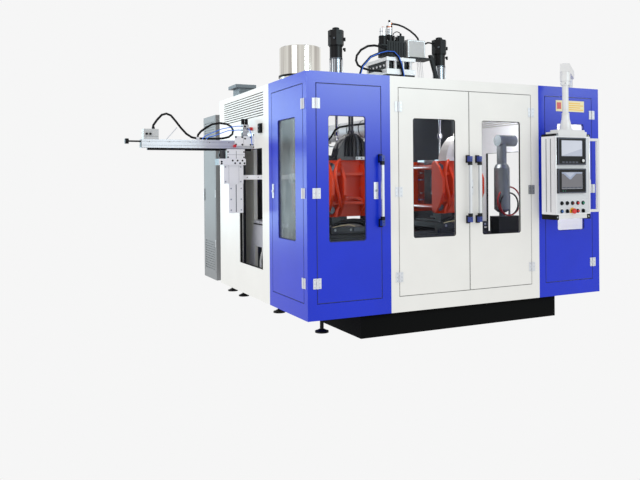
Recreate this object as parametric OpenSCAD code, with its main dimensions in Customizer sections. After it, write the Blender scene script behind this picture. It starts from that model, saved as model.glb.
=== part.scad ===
// Double-station extrusion blow moulding machine with a guard housing,
// a take-out beam on the left and a hanging control pendant on the right.
// Lengths are millimetres. Local measures start at the housing's front left
// corner on the floor: x to the right, y into the machine, z up.

/* [Guard housing] */
// Width of the whole housing along its front
housing_w = 3405; // [3300:5:3700]
// Depth from the front to the rear wall
housing_d = 2525; // [2500:5:2800]
// Height of the cabinets and walls above the skid
housing_h = 2150; // [2120:5:2300]
// Width of each corner cabinet
cabinet_w = 830; // [800:5:880]
// Depth of each corner cabinet
cabinet_d = 900; // [880:5:940]
// Thickness of the boxed sheet walls and doors
wall_t = 40; // [36:1:46]
// Height of the base skid under the housing
skid_h = 220; // [200:5:260]

/* [Doors] */
// Height of the fixed sill below each door
sill_h = 145; // [130:5:170]
// Height of the fixed header above each door
header_h = 103; // [90:1:130]
// Running gap around each door
door_gap = 4; // [3:1:6]
// Width of the left corner cabinet's front door
front_door_w = 642; // [620:2:650]
// Distance of the front door from the housing's left side
front_door_x = 92; // [88:1:100]
// Width of the left corner cabinet's side door
side_door_w = 743; // [700:1:750]
// Distance of the side door from the housing's front
side_door_y = 77; // [75:1:90]
// Width of the right corner cabinet's door
right_door_w = 646; // [620:2:650]
// Distance of the right door from the housing's right side
right_door_x = 99; // [92:1:105]
// Distance of the double doors from the left and right corner cabinets
double_door_inset = 88; // [80:1:100]
// Window width in the double doors
double_window_w = 476; // [440:2:500]
// Window width in the narrow doors
narrow_window_w = 370; // [340:2:400]
// Window width in the side door
side_window_w = 416; // [380:2:440]
// Height of the door below its window
window_sill = 523; // [480:1:560]
// Height of the door above its window
window_head = 274; // [250:1:300]
// Corner radius of the windows
window_r = 24; // [15:1:40]
// Thickness of the window panes
pane_t = 6; // [4:1:8]
// Height of one hinge
hinge_h = 90; // [70:1:110]
// Length of the door handles
handle_h = 652; // [560:2:700]
// Radius of the handle's bar
handle_r = 14; // [11:1:16]
// Distance from a door's face to the middle of its handle bar
handle_out = 52; // [45:1:58]

/* [Side walls] */
// Distance of the side opening from the corner cabinet
port_y = 189; // [170:1:220]
// Width of the side opening
port_w = 722; // [680:2:760]
// Height of the side opening's lower edge above the wall's foot
port_z = 318; // [300:1:360]
// Height of the side opening
port_h = 1217; // [1180:1:1240]
// Number of louvre slots in each side wall
louvre_count = 10; // [6:1:11]
// Distance between louvre slots
louvre_pitch = 25; // [24:0.5:26]
// Length of the louvre slots
louvre_l = 1305; // [1200:5:1350]

/* [Skid and feet] */
// Distance of the skid from the housing's sides
skid_inset = 555; // [520:5:600]
// Distance of the skid from the housing's front
skid_setback = 78; // [60:1:100]
// Depth of the wide part of the skid
skid_d = 3072; // [3000:4:3200]
// Diameter of the levelling feet
foot_d = 130; // [110:2:150]
// Diameter of the feet's threaded studs
stud_d = 36; // [30:1:40]

/* [Moulding line] */
// Depth of the moulding line behind the housing's front
line_y = 1450; // [1440:2:1460]
// Travel of each station from its blow pin to the die head
shuttle = 688; // [670:2:700]
// Opening travel of each mould half
mould_stroke = 110; // [100:1:112]
// Width of each mould
mould_w = 300; // [260:2:320]
// Height of each mould
mould_h = 535; // [500:5:540]
// Depth of each mould half
mould_t = 140; // [130:1:145]
// Radius of the bottle cavity
cavity_r = 75; // [60:1:90]
// Width of the platens
platen_w = 580; // [560:2:600]
// Thickness of a platen's face plate
platen_t = 60; // [50:1:62]
// Depth of a platen's ribs
rib_d = 150; // [120:1:152]
// Radius of the tie bars
tie_r = 28; // [24:1:32]
// Radius of the blow pin's rod
pin_r = 15; // [12:1:16]

/* [Extruder] */
// Height of the extruder's axis above the floor
screw_z = 2050; // [2040:1:2056]
// Distance from the die head's axis to the feed throat
screw_l = 2569; // [2500:5:2700]
// Outer radius of the heater bands
heater_r = 115; // [100:1:118]
// Number of heater bands
heater_count = 7; // [4:1:9]
// Diameter of the hopper drum
hopper_d = 620; // [560:5:660]
// Height of the hopper drum
hopper_h = 418; // [380:2:460]
// Height of the drum's lower edge above the floor
hopper_z = 2975; // [2900:5:3050]

/* [Control pendant] */
// Width of the pendant housing
pendant_w = 460; // [440:2:480]
// Height of the pendant housing
pendant_h = 770; // [740:5:800]
// Depth of the pendant housing
pendant_d = 187; // [170:1:195]
// Height of the pendant's lower edge above the floor
pendant_z = 1071; // [1050:2:1100]
// Distance of the hanging tube in front of the housing
tube_out = 183; // [180:1:195]
// Distance of the hanging tube from the housing's left side
tube_x = 2759; // [2750:1:2770]
// Outer radius of the hanging tube
tube_r = 30; // [26:1:34]
// Spacing of the control buttons
button_pitch = 70; // [66:1:74]

/* [Take-out] */
// Length of the take-out beam outside the housing
beam_l = 1133; // [1000:5:1200]
// Height of the beam's upper face above the floor
beam_z = 1839; // [1820:1:1860]
// Height and width of the beam profile
beam_h = 82; // [70:1:90]
// Reach of the take-out arm into the housing
arm_reach = 500; // [400:5:520]

/* [Hidden] */

$fn = 48;
clear = 1;
slide_fit = 0.08;

// Enclosure levels and door places
floor_z = skid_h;
roof_z = skid_h + housing_h;
door_z = floor_z + sill_h;
door_h = housing_h - sill_h - header_h;
mid_x = housing_w / 2;
double_x0 = cabinet_w + double_door_inset;
double_x1 = housing_w - cabinet_w - 101;
split_shift = 5.5;
double_split = mid_x + split_shift;
split_gap = 2;
left_leaf_w = double_split - split_gap - double_x0;
right_leaf_w = double_x1 - double_split - split_gap;
left_window_x = (left_leaf_w - double_window_w) / 2 - 1;
right_window_x = (right_leaf_w - double_window_w) / 2 - 7;
right_stile = right_leaf_w - double_window_w - right_window_x;
pane_lap = 12;
pane_y = 16;
knuckle_r = 8;
hinge_pin_r = 4;
hinge_out = 9;
leaf_w = 38;
leaf_t = 5;
hinge_inset = 175;

// Station levels, from the bed upwards
bed_z = 600;
rail_z = 820;
rail_h = 35;
rail_w = 40;
deck_z = 880;
deck_t = 60;
deck_rail_w = 30;
deck_rail_h = 25;
platen_z = 1040;
platen_top = 1635;
mould_top = 1655;
carriage_w = 620;
front_rail_y = line_y - 380;
rear_rail_y = line_y + 380;
mould_face = mould_stroke;
tie_x = 240;
yoke_y = 550;
yoke_t = 60;
top_beam_z = 2200;
top_beam_h = 100;
column_w = 80;
frame_x = mid_x - 1102.5;
beam_dy = 140;

// Extruder places along the depth
throat_y = line_y + screw_l;
gearbox_y = throat_y + 150;
gearbox_d = 430;
drive_back = gearbox_y + gearbox_d;
platform_z = 1700;

// Moves the housing measures to the part's own frame
module place() {
    translate([-mid_x, -line_y, 0])
        children();
}

// Turns a front panel's local frame to the left side wall
module on_left_side() {
    mirror([1, 0, 0])
        rotate([0, 0, 90])
            children();
}

// Mirrors a left-hand form to the right of the housing
module on_right() {
    translate([housing_w, 0, 0])
        mirror([1, 0, 0])
            children();
}

module block(x, y, z) {
    translate([x[0], y[0], z[0]])
        cube([x[1] - x[0], y[1] - y[0], z[1] - z[0]]);
}

// Rounded upright rectangle, extruded along y from y0 to y1
module round_slab(w, h, r, y0, y1) {
    translate([0, y1, 0])
        rotate([90, 0, 0])
            linear_extrude(y1 - y0)
                round_rect(w, h, r);
}

module round_rect(w, h, r) {
    union() {
        translate([r, 0])
            square([w - 2 * r, h]);
        translate([0, r])
            square([w, h - 2 * r]);
        for (x = [r, w - r], y = [r, h - r])
            translate([x, y])
                circle(r);
    }
}

// Base

module base_skid() {
    color("#202226")
        place() {
            block([skid_inset, housing_w - skid_inset], [skid_setback, skid_setback + skid_d],
                [0, skid_h]);
            block([mid_x - 520, mid_x + 520], [skid_setback + skid_d, drive_back + 60],
                [0, skid_h]);
        }
}

module levelling_foot() {
    cylinder(d = foot_d, h = 14);
    translate([0, 0, 14])
        cylinder(d1 = foot_d - 16, d2 = stud_d + 24, h = 16);
    translate([0, 0, 30])
        cylinder(d = stud_d, h = skid_h - 30);
    translate([0, 0, skid_h - 44])
        cylinder(d = stud_d + 30, h = 24, $fn = 6);
}

ecab_y = housing_d + 172;
ecab_d = 532;

module levelling_feet() {
    color("#2c2e33")
        place()
            for (p = [[360, 487], [360, 1562], [360, ecab_y + 43], [360, ecab_y + ecab_d - 49]],
                side = [0, 1])
                if (side == 0 || p[1] < housing_d)
                    translate([side == 0 ? p[0] : housing_w - p[0], p[1], 0])
                        levelling_foot();
}

// Doors, hinges and windows

// Fixed half of a hinge at a door's left edge, with its pin
module hinge_fixed() {
    third = hinge_h / 3;
    for (z = [-hinge_h / 2, third / 2]) {
        translate([0, -hinge_out, z])
            cylinder(r = knuckle_r, h = third);
        block([-leaf_w + 2, 0], [-leaf_t, 0], [z, z + third]);
    }
    block([-leaf_w, -knuckle_r - 1], [-leaf_t, 0], [-hinge_h / 2, hinge_h / 2]);
    translate([0, -hinge_out, -hinge_h / 2])
        cylinder(r = hinge_pin_r, h = hinge_h);
}

// Moving half of the same hinge
module hinge_moving() {
    third = hinge_h / 3;
    difference() {
        union() {
            translate([0, -hinge_out, -third / 2 + 0.5])
                cylinder(r = knuckle_r, h = third - 1);
            block([0, leaf_w - 2], [-leaf_t, 0], [-third / 2 + 0.5, third / 2 - 0.5]);
            block([knuckle_r + 1, leaf_w], [-leaf_t, 0], [-hinge_h / 2, hinge_h / 2]);
        }
        translate([0, -hinge_out, -third])
            cylinder(r = hinge_pin_r + slide_fit, h = 2 * third);
    }
}

hinge_zs = [hinge_inset, door_h / 2, door_h - hinge_inset];

// Door with its hinge on the left; x starts at the door's left edge
module door_leaf(w, window_w, window_x) {
    h = door_h - window_sill - window_head;
    difference() {
        cube([w, wall_t, door_h]);
        translate([window_x, 0, window_sill])
            round_slab(window_w, h, window_r, -1, wall_t + 1);
        translate([window_x - pane_lap, 0, window_sill - pane_lap])
            round_slab(window_w + 2 * pane_lap, h + 2 * pane_lap, window_r + pane_lap,
                pane_y, wall_t + 1);
    }
    for (z = hinge_zs)
        translate([-door_gap / 2, 0, z])
            hinge_moving();
}

// Fixed hinge halves for the same door
module door_hinges() {
    for (z = hinge_zs)
        translate([-door_gap / 2, 0, z])
            hinge_fixed();
}

module door_pane(window_w, window_x) {
    h = door_h - window_sill - window_head;
    lap = pane_lap - clear;
    translate([window_x - lap, 0, window_sill - lap])
        round_slab(window_w + 2 * lap, h + 2 * lap, window_r + lap, pane_y, pane_y + pane_t);
}

// Door opening to cut from a wall, with its running gap
module door_cut(w) {
    translate([-door_gap, -1, -door_gap])
        cube([w + 2 * door_gap, wall_t + 2, door_h + 2 * door_gap]);
}

module lock_plate(w, h) {
    translate([0, -8, 0])
        cube([w, 8, h]);
    translate([w / 2, -8, h / 2])
        rotate([90, 0, 0])
            cylinder(r = w / 3, h = 7);
}

// Grab handle: two brackets and a bar, seated on the door's face
module door_handle() {
    bracket_h = 75;
    for (side = [0, 1])
        translate([0, 0, side * handle_h])
            mirror([0, 0, side])
                translate([-16, 0, 0])
                    rotate([90, 0, 90])
                        linear_extrude(32)
                            polygon([[0, 0], [0, 46], [-handle_out + 16, bracket_h],
                                [-handle_out - 18, bracket_h], [-handle_out - 18, bracket_h - 22],
                                [-handle_out + 8, 20], [-14, 0]]);
    translate([0, -handle_out, bracket_h])
        cylinder(r = handle_r, h = handle_h - 2 * bracket_h);
}

handle_z = floor_z + 785;

module front_door() {
    color("#3346c8")
        place()
            translate([front_door_x, 0, door_z])
                door_leaf(front_door_w, narrow_window_w, 115);
}

module front_door_window() {
    color("#b8c4d0", 0.4)
        place()
            translate([front_door_x, 0, door_z])
                door_pane(narrow_window_w, 115);
}

module front_door_handle() {
    color("#2f43c4")
        place() {
            translate([front_door_x + front_door_w - 18, 0, handle_z])
                door_handle();
            translate([front_door_x + front_door_w - 81, 0, floor_z + 1036])
                lock_plate(44, 152);
        }
}

module side_door() {
    color("#3346c8")
        place()
            on_left_side()
                translate([side_door_y, 0, door_z]) {
                    door_leaf(side_door_w, side_window_w, 170);
                    translate([side_door_w - 60, 0, 897])
                        lock_plate(36, 134);
                }
}

module side_door_window() {
    color("#b8c4d0", 0.4)
        place()
            on_left_side()
                translate([side_door_y, 0, door_z])
                    door_pane(side_window_w, 170);
}

module left_double_door() {
    color("#eeeeea")
        place()
            translate([double_x0, 0, door_z])
                door_leaf(left_leaf_w, double_window_w, left_window_x);
}

module left_double_window() {
    color("#b8c4d0", 0.4)
        place()
            translate([double_x0, 0, door_z])
                door_pane(double_window_w, left_window_x);
}

module left_double_handle() {
    color("#2f43c4")
        place()
            translate([double_split - 28, 0, handle_z])
                door_handle();
}

// The right leaf is the left leaf's mirror image, hinged on the right
module right_leaf_frame() {
    translate([double_x1, 0, door_z])
        mirror([1, 0, 0])
            children();
}

module right_double_door() {
    color("#eeeeea")
        place()
            right_leaf_frame() {
                door_leaf(right_leaf_w, double_window_w, right_window_x);
            }
}

module right_double_window() {
    color("#b8c4d0", 0.4)
        place()
            right_leaf_frame()
                door_pane(double_window_w, right_window_x);
}

module right_double_handle() {
    color("#2f43c4")
        place() {
            translate([double_split + split_gap + right_stile / 2 + 6.5, 0, handle_z])
                door_handle();
            translate([double_split + 16, 0, floor_z + 1052])
                lock_plate(22, 150);
        }
}

module right_door() {
    color("#3346c8")
        place()
            on_right()
                translate([right_door_x, 0, door_z]) {
                    door_leaf(right_door_w, narrow_window_w, 111);
                    translate([right_door_w - 80, 0, 897])
                        lock_plate(44, 152);
                }
}

module right_door_window() {
    color("#b8c4d0", 0.4)
        place()
            on_right()
                translate([right_door_x, 0, door_z])
                    door_pane(narrow_window_w, 111);
}

// Housing

// Corner cabinet, open to the machine at its right side and its rear
module corner_cabinet(door_x, door_w) {
    difference() {
        block([0, cabinet_w], [0, cabinet_d], [floor_z, roof_z]);
        block([wall_t, cabinet_w + 1], [wall_t, cabinet_d + 1], [floor_z + wall_t, roof_z - wall_t]);
        translate([door_x, 0, door_z])
            door_cut(door_w);
    }
    translate([door_x, 0, door_z])
        door_hinges();
}

module left_cabinet() {
    color("#3346c8")
        place() {
            difference() {
                corner_cabinet(front_door_x, front_door_w);
                on_left_side()
                    translate([side_door_y, 0, door_z])
                        door_cut(side_door_w);
            }
            on_left_side()
                translate([side_door_y, 0, door_z])
                    door_hinges();
        }
}

post_x = housing_w - 252;
post_y = 150;
arm_z = roof_z + 119;

module right_cabinet() {
    color("#3346c8")
        place() {
            on_right()
                corner_cabinet(right_door_x, right_door_w);
            translate([post_x, post_y, roof_z])
                cylinder(r = 80, h = 12);
            translate([post_x, post_y, roof_z])
                cylinder(r = 32, h = arm_z - roof_z - slide_fit);
        }
}

module centre_portal() {
    color("#eeeeea")
        place() {
            difference() {
                union() {
                    block([cabinet_w, housing_w - cabinet_w], [0, wall_t], [floor_z, roof_z]);
                    block([cabinet_w, housing_w - cabinet_w], [0, 180], [roof_z - wall_t, roof_z]);
                    block([cabinet_w, housing_w - cabinet_w], [0, 180], [floor_z, floor_z + wall_t]);
                }
                translate([double_x0, 0, door_z])
                    door_cut(double_x1 - double_x0);
            }
            translate([double_x0, 0, door_z])
                door_hinges();
            right_leaf_frame()
                door_hinges();
        }
}

// Side wall with its take-out opening, louvres, floor pan and roof strip
module side_wall() {
    louvre_z = floor_z + 1858;
    louvre_y = (cabinet_d + housing_d - louvre_l) / 2 - 15;
    difference() {
        union() {
            block([0, wall_t], [cabinet_d, housing_d], [floor_z, roof_z]);
            block([0, skid_inset - 15], [cabinet_d, housing_d], [floor_z, floor_z + wall_t]);
            block([0, 450], [cabinet_d, housing_d], [roof_z - wall_t, roof_z]);
        }
        block([-1, wall_t + 1], [cabinet_d + port_y, cabinet_d + port_y + port_w],
            [floor_z + port_z, floor_z + port_z + port_h]);
        for (i = [0 : louvre_count - 1])
            translate([0, louvre_y + louvre_l, louvre_z + i * louvre_pitch])
                rotate([90, 0, 0])
                    linear_extrude(louvre_l)
                        polygon([[-1, 0], [wall_t + 1, 8], [wall_t + 1, 18], [-1, 10]]);
    }
    block([200, 240], [inner_post_y - 205, inner_post_y + 80], [floor_z + wall_t, roof_z - wall_t]);
}

inner_post_y = housing_d - 425;
vent_x = 139;
vent_y = housing_d - 325;
shelf_z = 955;

// Cable duct, shelf rail and bottle chute just inside the left opening
module left_inner_fittings() {
    duct_x = 300;
    block([duct_x, duct_x + 40], [inner_post_y - 220, inner_post_y - 10], [shelf_z + 35, roof_z - wall_t]);
    block([200, 240], [1000, inner_post_y], [shelf_z, shelf_z + 35]);
    block([200, duct_x + 40], [inner_post_y - 220, inner_post_y - 180],
        [shelf_z, shelf_z + 35]);
    block([wall_t, 200], [1000, 1040], [shelf_z, shelf_z + 35]);
    translate([200, 0, 0])
        rotate([90, 0, 90])
            linear_extrude(8)
                polygon([[1050, shelf_z], [inner_post_y, shelf_z], [inner_post_y, 810],
                    [inner_post_y - 272, 702], [1050, 702]]);
}

// Pump box inside the right wall, with the air tank, its pipe and coiled hoses on top
module air_tank() {
    tank_x = housing_w - frame_x + 140;
    tank_y = 1000;
    box_top = 990;
    pipe_z = 1870;
    block([tank_x - 115, tank_x + 245], [tank_y - 80, tank_y + 80], [floor_z + wall_t, box_top]);
    translate([tank_x, tank_y, box_top])
        cylinder(r = 34, h = 60);
    translate([tank_x, tank_y, 0])
        rotate_extrude()
            polygon([[0, 1035], [50, 1035], [90, 1070], [90, 1550], [70, 1590], [56, 1600],
                [56, pipe_z], [0, pipe_z]]);
    translate([tank_x - 63, tank_y, pipe_z])
        rotate([0, 90, 0])
            cylinder(r = 66, h = 248);
    translate([tank_x + 55, tank_y - 62, box_top])
        cylinder(r = 12, h = 250);
    for (c = [[45, 130, 72], [60, 165, 52]])
        translate([tank_x + c[0], tank_y - c[2], box_top + c[1] + 9.7])
            rotate([90, 0, 0])
                rotate_extrude()
                    translate([c[1], 0])
                        circle(r = 9, $fn = 16);
}

module left_side_wall() {
    color("#eeeeea")
        place() {
            side_wall();
            difference() {
                union() {
                    block([vent_x, vent_x + 183], [vent_y, vent_y + 226], [roof_z, roof_z + 130]);
                    block([vent_x - 50, vent_x + 196], [vent_y - 30, vent_y + 256],
                        [roof_z + 130, roof_z + 168]);
                }
                for (i = [0 : 4])
                    block([vent_x + 20, vent_x + 163], [vent_y - 1, vent_y + 6],
                        [roof_z + 15 + 22 * i, roof_z + 26 + 22 * i]);
            }
            left_inner_fittings();
            block([-22, 0], [1072, 1150], [1905, 2000]);
        }
}

module right_side_wall() {
    color("#eeeeea")
        place() {
            on_right()
                side_wall();
            air_tank();
        }
}

module rear_wall() {
    opening_x = mid_x - 552.5;
    color("#eeeeea")
        place()
            difference() {
                block([wall_t, housing_w - wall_t], [housing_d, housing_d + wall_t],
                    [floor_z, roof_z]);
                block([opening_x, housing_w - opening_x], [housing_d - 1, housing_d + wall_t + 1],
                    [floor_z - 1, roof_z - wall_t]);
            }
}

module electrical_cabinet() {
    w = 750;
    y0 = ecab_y;
    y1 = ecab_y + ecab_d;
    h = 2008;
    color("#9aa4b8")
        place()
            difference() {
                block([0, w], [y0, y1], [floor_z, floor_z + h]);
                for (i = [0 : 11])
                    block([-1, 8], [y0 + 60, y1 - 60],
                        [floor_z + h - 420 + 30 * i, floor_z + h - 406 + 30 * i]);
                for (i = [0 : 11])
                    block([-1, 8], [y0 + 60, y1 - 60],
                        [floor_z + 120 + 30 * i, floor_z + 134 + 30 * i]);
                block([w / 2 - 2, w / 2 + 2], [y1 - 4, y1 + 1], [floor_z + 60, floor_z + h - 60]);
            }
}

// Pendant

pendant_y = -tube_out - pendant_d / 2;
panel_in = 3;

// Puts children in the pendant's frame: x and z from its lower left front corner
module pendant_frame() {
    translate([tube_x - pendant_w / 2, pendant_y, pendant_z])
        children();
}

canopy_h = 89;
flare_h = 137;
cap_w = 40;

module pendant_housing() {
    flute = 14;
    cap_top = 23;
    cap_foot = 50;
    color("#d9dbde")
        place()
            pendant_frame() {
                difference() {
                    cube([pendant_w, pendant_d, pendant_h]);
                    for (i = [0 : 4], x = [-1, pendant_w - 5])
                        translate([x, 28 + 30 * i, 24])
                            cube([6, flute, pendant_h - 48]);
                    translate([20, -1, 12])
                        cube([pendant_w - 40, 1 + panel_in, pendant_h - 24]);
                    for (c = moving_controls)
                        at_control(c)
                            control_bore();
                }
                for (c = moving_controls)
                    at_control(c)
                        control_collar();
                for (c = pilot_lamps)
                    at_control(c)
                        cylinder(r1 = bezel_r, r2 = bezel_r - 3, h = 14);
                for (x = [0, pendant_w - cap_w]) {
                    translate([x, 0, pendant_h])
                        cube([cap_w, pendant_d, cap_top]);
                    translate([x, 0, -cap_foot])
                        cube([cap_w, pendant_d, cap_foot]);
                }
                translate([cap_w, 4, pendant_h])
                    cube([pendant_w - 2 * cap_w, pendant_d - 24, 46]);
                translate([cap_w + 30, 20, pendant_h + 46])
                    cube([pendant_w - 2 * cap_w - 40, pendant_d - 70, 20]);
                translate([pendant_w / 2, pendant_d / 2, pendant_h + 46])
                    cylinder(r = 58, h = canopy_h - 46);
                translate([cap_w, 6, -cap_foot + 8])
                    cube([pendant_w - 2 * cap_w, pendant_d - 12, cap_foot - 8]);
                translate([pendant_w / 2, pendant_d / 2, pendant_h + canopy_h])
                    cylinder(r1 = 46, r2 = tube_r + 6, h = flare_h);
            }
}

upper_display_z = 487;
lower_display_z = 209;
display_w = 368;
upper_display_h = 268;
lower_display_h = 242;
display_x = 20;

module display_frame(h, screen_z, screen_h) {
    difference() {
        translate([0, -16, 0])
            cube([display_w, 19, h]);
        translate([46, -17, screen_z])
            cube([display_w - 92, 8, screen_h]);
    }
}

module display_bezels() {
    color("#17181b")
        place()
            pendant_frame() {
                translate([display_x, 0, upper_display_z]) {
                    display_frame(upper_display_h, 86, 156);
                    translate([display_w - 44, -16, 42])
                        rotate([90, 0, 0])
                            cylinder(r = 22, h = 6);
                }
                translate([display_x, 0, lower_display_z])
                    display_frame(lower_display_h, 42, 166);
            }
}

module display_screens() {
    color("#a9b6c6")
        place()
            pendant_frame() {
                translate([display_x + 46, -13, upper_display_z + 86])
                    cube([display_w - 92, 4, 156]);
                translate([display_x + 46, -13, lower_display_z + 42])
                    cube([display_w - 92, 4, 166]);
            }
}

module pendant_handle() {
    reach = 161;
    bar = 26;
    color("#f0f0ee")
        place()
            pendant_frame()
                translate([pendant_w, 30, 0]) {
                    block([0, reach], [0, bar], [pendant_h - 40, pendant_h - 14]);
                    block([0, reach], [0, bar], [14, 40]);
                    block([reach - bar, reach], [0, bar], [14, pendant_h - 14]);
                    block([0, 40], [0, bar], [250, 340]);
                }
}

tube_top = arm_z - 92;

module pendant_tube() {
    neck_top = pendant_z + pendant_h + canopy_h + flare_h;
    color("#e6e7e8")
        place()
            translate([tube_x, -tube_out, 0]) {
                translate([0, 0, neck_top])
                    cylinder(r = tube_r, h = tube_top - neck_top);
                translate([0, 0, tube_top - 40])
                    cylinder(r = tube_r + 12, h = 40);
            }
}

arm_dx = post_x - tube_x;
arm_dy = post_y + tube_out;
arm_l = sqrt(arm_dx * arm_dx + arm_dy * arm_dy);
arm_a = atan2(arm_dy, arm_dx);

module pendant_arm() {
    arm_h = 80;
    color("#d4d6d6")
        place()
            translate([tube_x, -tube_out, 0])
                rotate([0, 0, arm_a]) {
                    translate([0, 0, tube_top + slide_fit])
                        cylinder(r = 50, h = arm_z - tube_top - slide_fit);
                    block([-50, arm_l + 45], [-45, 45], [arm_z, arm_z + arm_h]);
                }
}

// Controls on the pendant: column and row of each, from the lower left
button_x0 = 82;
button_z = [32, 111];
bezel_r = 17;
stem_r = 12;
stem_in = 14;
stroke_room = 8;
collar_h = 8;
moving_controls = [[0, 0], [1, 0], [2, 0], [3, 0], [4, 0], [3, 1], [4, 1]];
pilot_lamps = [[0, 1], [1, 1], [2, 1]];

module at_control(c) {
    translate([button_x0 + c[0] * button_pitch, panel_in, button_z[c[1]]])
        rotate([90, 0, 0])
            children();
}

module at_button(column, row) {
    pendant_frame()
        at_control([column, row])
            children();
}

// Collar around a control, with a blind bore that guides its stem
module control_collar() {
    difference() {
        cylinder(r = bezel_r, h = collar_h);
        translate([0, 0, -1])
            cylinder(r = stem_r + slide_fit, h = collar_h + 2);
    }
}

module control_bore() {
    translate([0, 0, -stem_in - stroke_room])
        cylinder(r = stem_r + slide_fit, h = stem_in + stroke_room + collar_h + 1);
}

module push_button() {
    translate([0, 0, -stem_in])
        cylinder(r = stem_r, h = stem_in + collar_h + 7);
}

module selector() {
    translate([0, 0, -stem_in])
        cylinder(r = stem_r, h = stem_in + collar_h + 3);
    translate([-4, -bezel_r + 1, collar_h + 3])
        cube([8, 2 * bezel_r - 2, 13]);
}

module emergency_stop() {
    color("#d81e18")
        place()
            at_button(2, 0) {
                translate([0, 0, -stem_in])
                    cylinder(r = stem_r, h = stem_in + 24);
                translate([0, 0, 22])
                    cylinder(r1 = 26, r2 = 22, h = 16);
            }
}

module left_selector() {
    color("#1c1c1e")
        place()
            at_button(1, 0)
                selector();
}

module right_selector() {
    color("#1f2b26")
        place()
            at_button(4, 0)
                selector();
}

module green_button() {
    color("#0f8a6a")
        place()
            at_button(4, 1)
                push_button();
}

module upper_red_button() {
    color("#c81e24")
        place()
            at_button(3, 1)
                push_button();
}

module lower_red_button() {
    color("#c81e24")
        place()
            at_button(3, 0)
                push_button();
}

module blue_button() {
    color("#2f5f98")
        place()
            at_button(0, 0)
                push_button();
}

// Extruder

module along_y(y0) {
    translate([mid_x, y0, screw_z])
        rotate([-90, 0, 0])
            children();
}

heater_y0 = line_y + 250;
heater_span = (throat_y - 170 - heater_y0) / heater_count;

module extruder_barrel() {
    color("#8d9299")
        place() {
            along_y(line_y + 131)
                cylinder(r = 75, h = throat_y - line_y - 131 - 140);
            along_y(line_y + 170)
                cylinder(r = 110, h = 50);
            for (i = [0 : heater_count - 1])
                along_y(heater_y0 + i * heater_span + 12)
                    cylinder(r = heater_r, h = heater_span - 24);
            block([mid_x - 150, mid_x + 150], [throat_y - 150, throat_y + 150],
                [screw_z - 170, screw_z + 170]);
        }
}

module extruder_gearbox() {
    rib = 14;
    color("#3d4656")
        place() {
            difference() {
                block([mid_x - 230, mid_x + 230], [gearbox_y, gearbox_y + gearbox_d - 90],
                    [platform_z + 80, screw_z + 280]);
                for (i = [0 : 4], side = [0, 1])
                    block([mid_x - 231 + side * 449, mid_x - 218 + side * 449],
                        [gearbox_y + 24 + i * 62, gearbox_y + 62 + i * 62],
                        [platform_z + 140, screw_z + 240]);
            }
            block([mid_x - 280, mid_x + 280], [gearbox_y, gearbox_y + gearbox_d - 90],
                [platform_z + 80, platform_z + 110]);
            guard_bottom = 1250;
            translate([mid_x, drive_back, 0])
                rotate([90, 0, 0])
                    linear_extrude(90) {
                        translate([-170, guard_bottom])
                            square([340, screw_z - guard_bottom]);
                        translate([0, screw_z])
                            circle(r = 170);
                        translate([0, guard_bottom])
                            circle(r = 170);
                    }
        }
}

motor_z = 1250;
motor_r = 190;

module extruder_motor() {
    motor_l = 620;
    motor_y = gearbox_y - 420;
    color("#4a5a78")
        place() {
            translate([mid_x, motor_y, motor_z])
                rotate([-90, 0, 0])
                    difference() {
                        cylinder(r = motor_r, h = motor_l);
                        for (a = [0 : 20 : 340])
                            rotate([0, 0, a])
                                translate([motor_r - 16, -9, 60])
                                    cube([20, 18, motor_l - 120]);
                    }
            translate([mid_x, motor_y + motor_l, motor_z])
                rotate([-90, 0, 0])
                    cylinder(r = 40, h = drive_back - 90 - motor_y - motor_l);
            block([mid_x - 170, mid_x + 170], [motor_y + 120, motor_y + motor_l - 120],
                [motor_z - motor_r - 30, motor_z - motor_r + 40]);
            block([mid_x + 110, mid_x + 250], [motor_y + 200, motor_y + 400],
                [motor_z + 60, motor_z + 190]);
        }
}

module hopper() {
    r = hopper_d / 2;
    throat_top = screw_z + 170;
    color("#c9ccce")
        place()
            translate([mid_x, throat_y, 0])
                rotate_extrude()
                    polygon([[0, throat_top], [110, throat_top], [110, throat_top + 20],
                        [75, throat_top + 20], [75, throat_top + 200], [r, hopper_z - 30],
                        [r + 14, hopper_z - 30], [r + 14, hopper_z], [r, hopper_z],
                        [r, hopper_z + hopper_h - 12], [r - 12, hopper_z + hopper_h],
                        [0, hopper_z + hopper_h + 6]]);
}

// Die head and what stands on it

module die_head() {
    head_top = lower_plate_z - head_foot;
    color("#5c6168")
        place()
            union() {
                translate([mid_x, line_y, 0])
                    rotate_extrude()
                        polygon([[0, 1700], [62, 1700], [80, 1730], [80, 1790], [118, 1800],
                            [118, 1960], [128, 1970], [128, 2130], [118, 2140], [118, 2340],
                            [96, 2350], [96, head_top], [0, head_top]]);
                along_y(line_y)
                    cylinder(r = 70, h = 130);
            }
}

plate_x = [-150, 228];
plate_y = [-195, 300];
lower_plate_z = 2632;
upper_plate_z = 2762;
plate_h = 39;
plate_top = upper_plate_z + plate_h;
head_foot = 22;

module head_plates() {
    color("#dcdedd")
        place()
            translate([mid_x, line_y, 0]) {
                block(plate_x, plate_y, [lower_plate_z - head_foot, lower_plate_z + plate_h]);
                block(plate_x, plate_y, [upper_plate_z, plate_top]);
                for (x = [-128, -28, 72, 172], y = [-170, 275])
                    translate([x, y, lower_plate_z + plate_h])
                        cylinder(r = 18, h = upper_plate_z - lower_plate_z - plate_h);
            }
}

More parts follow.
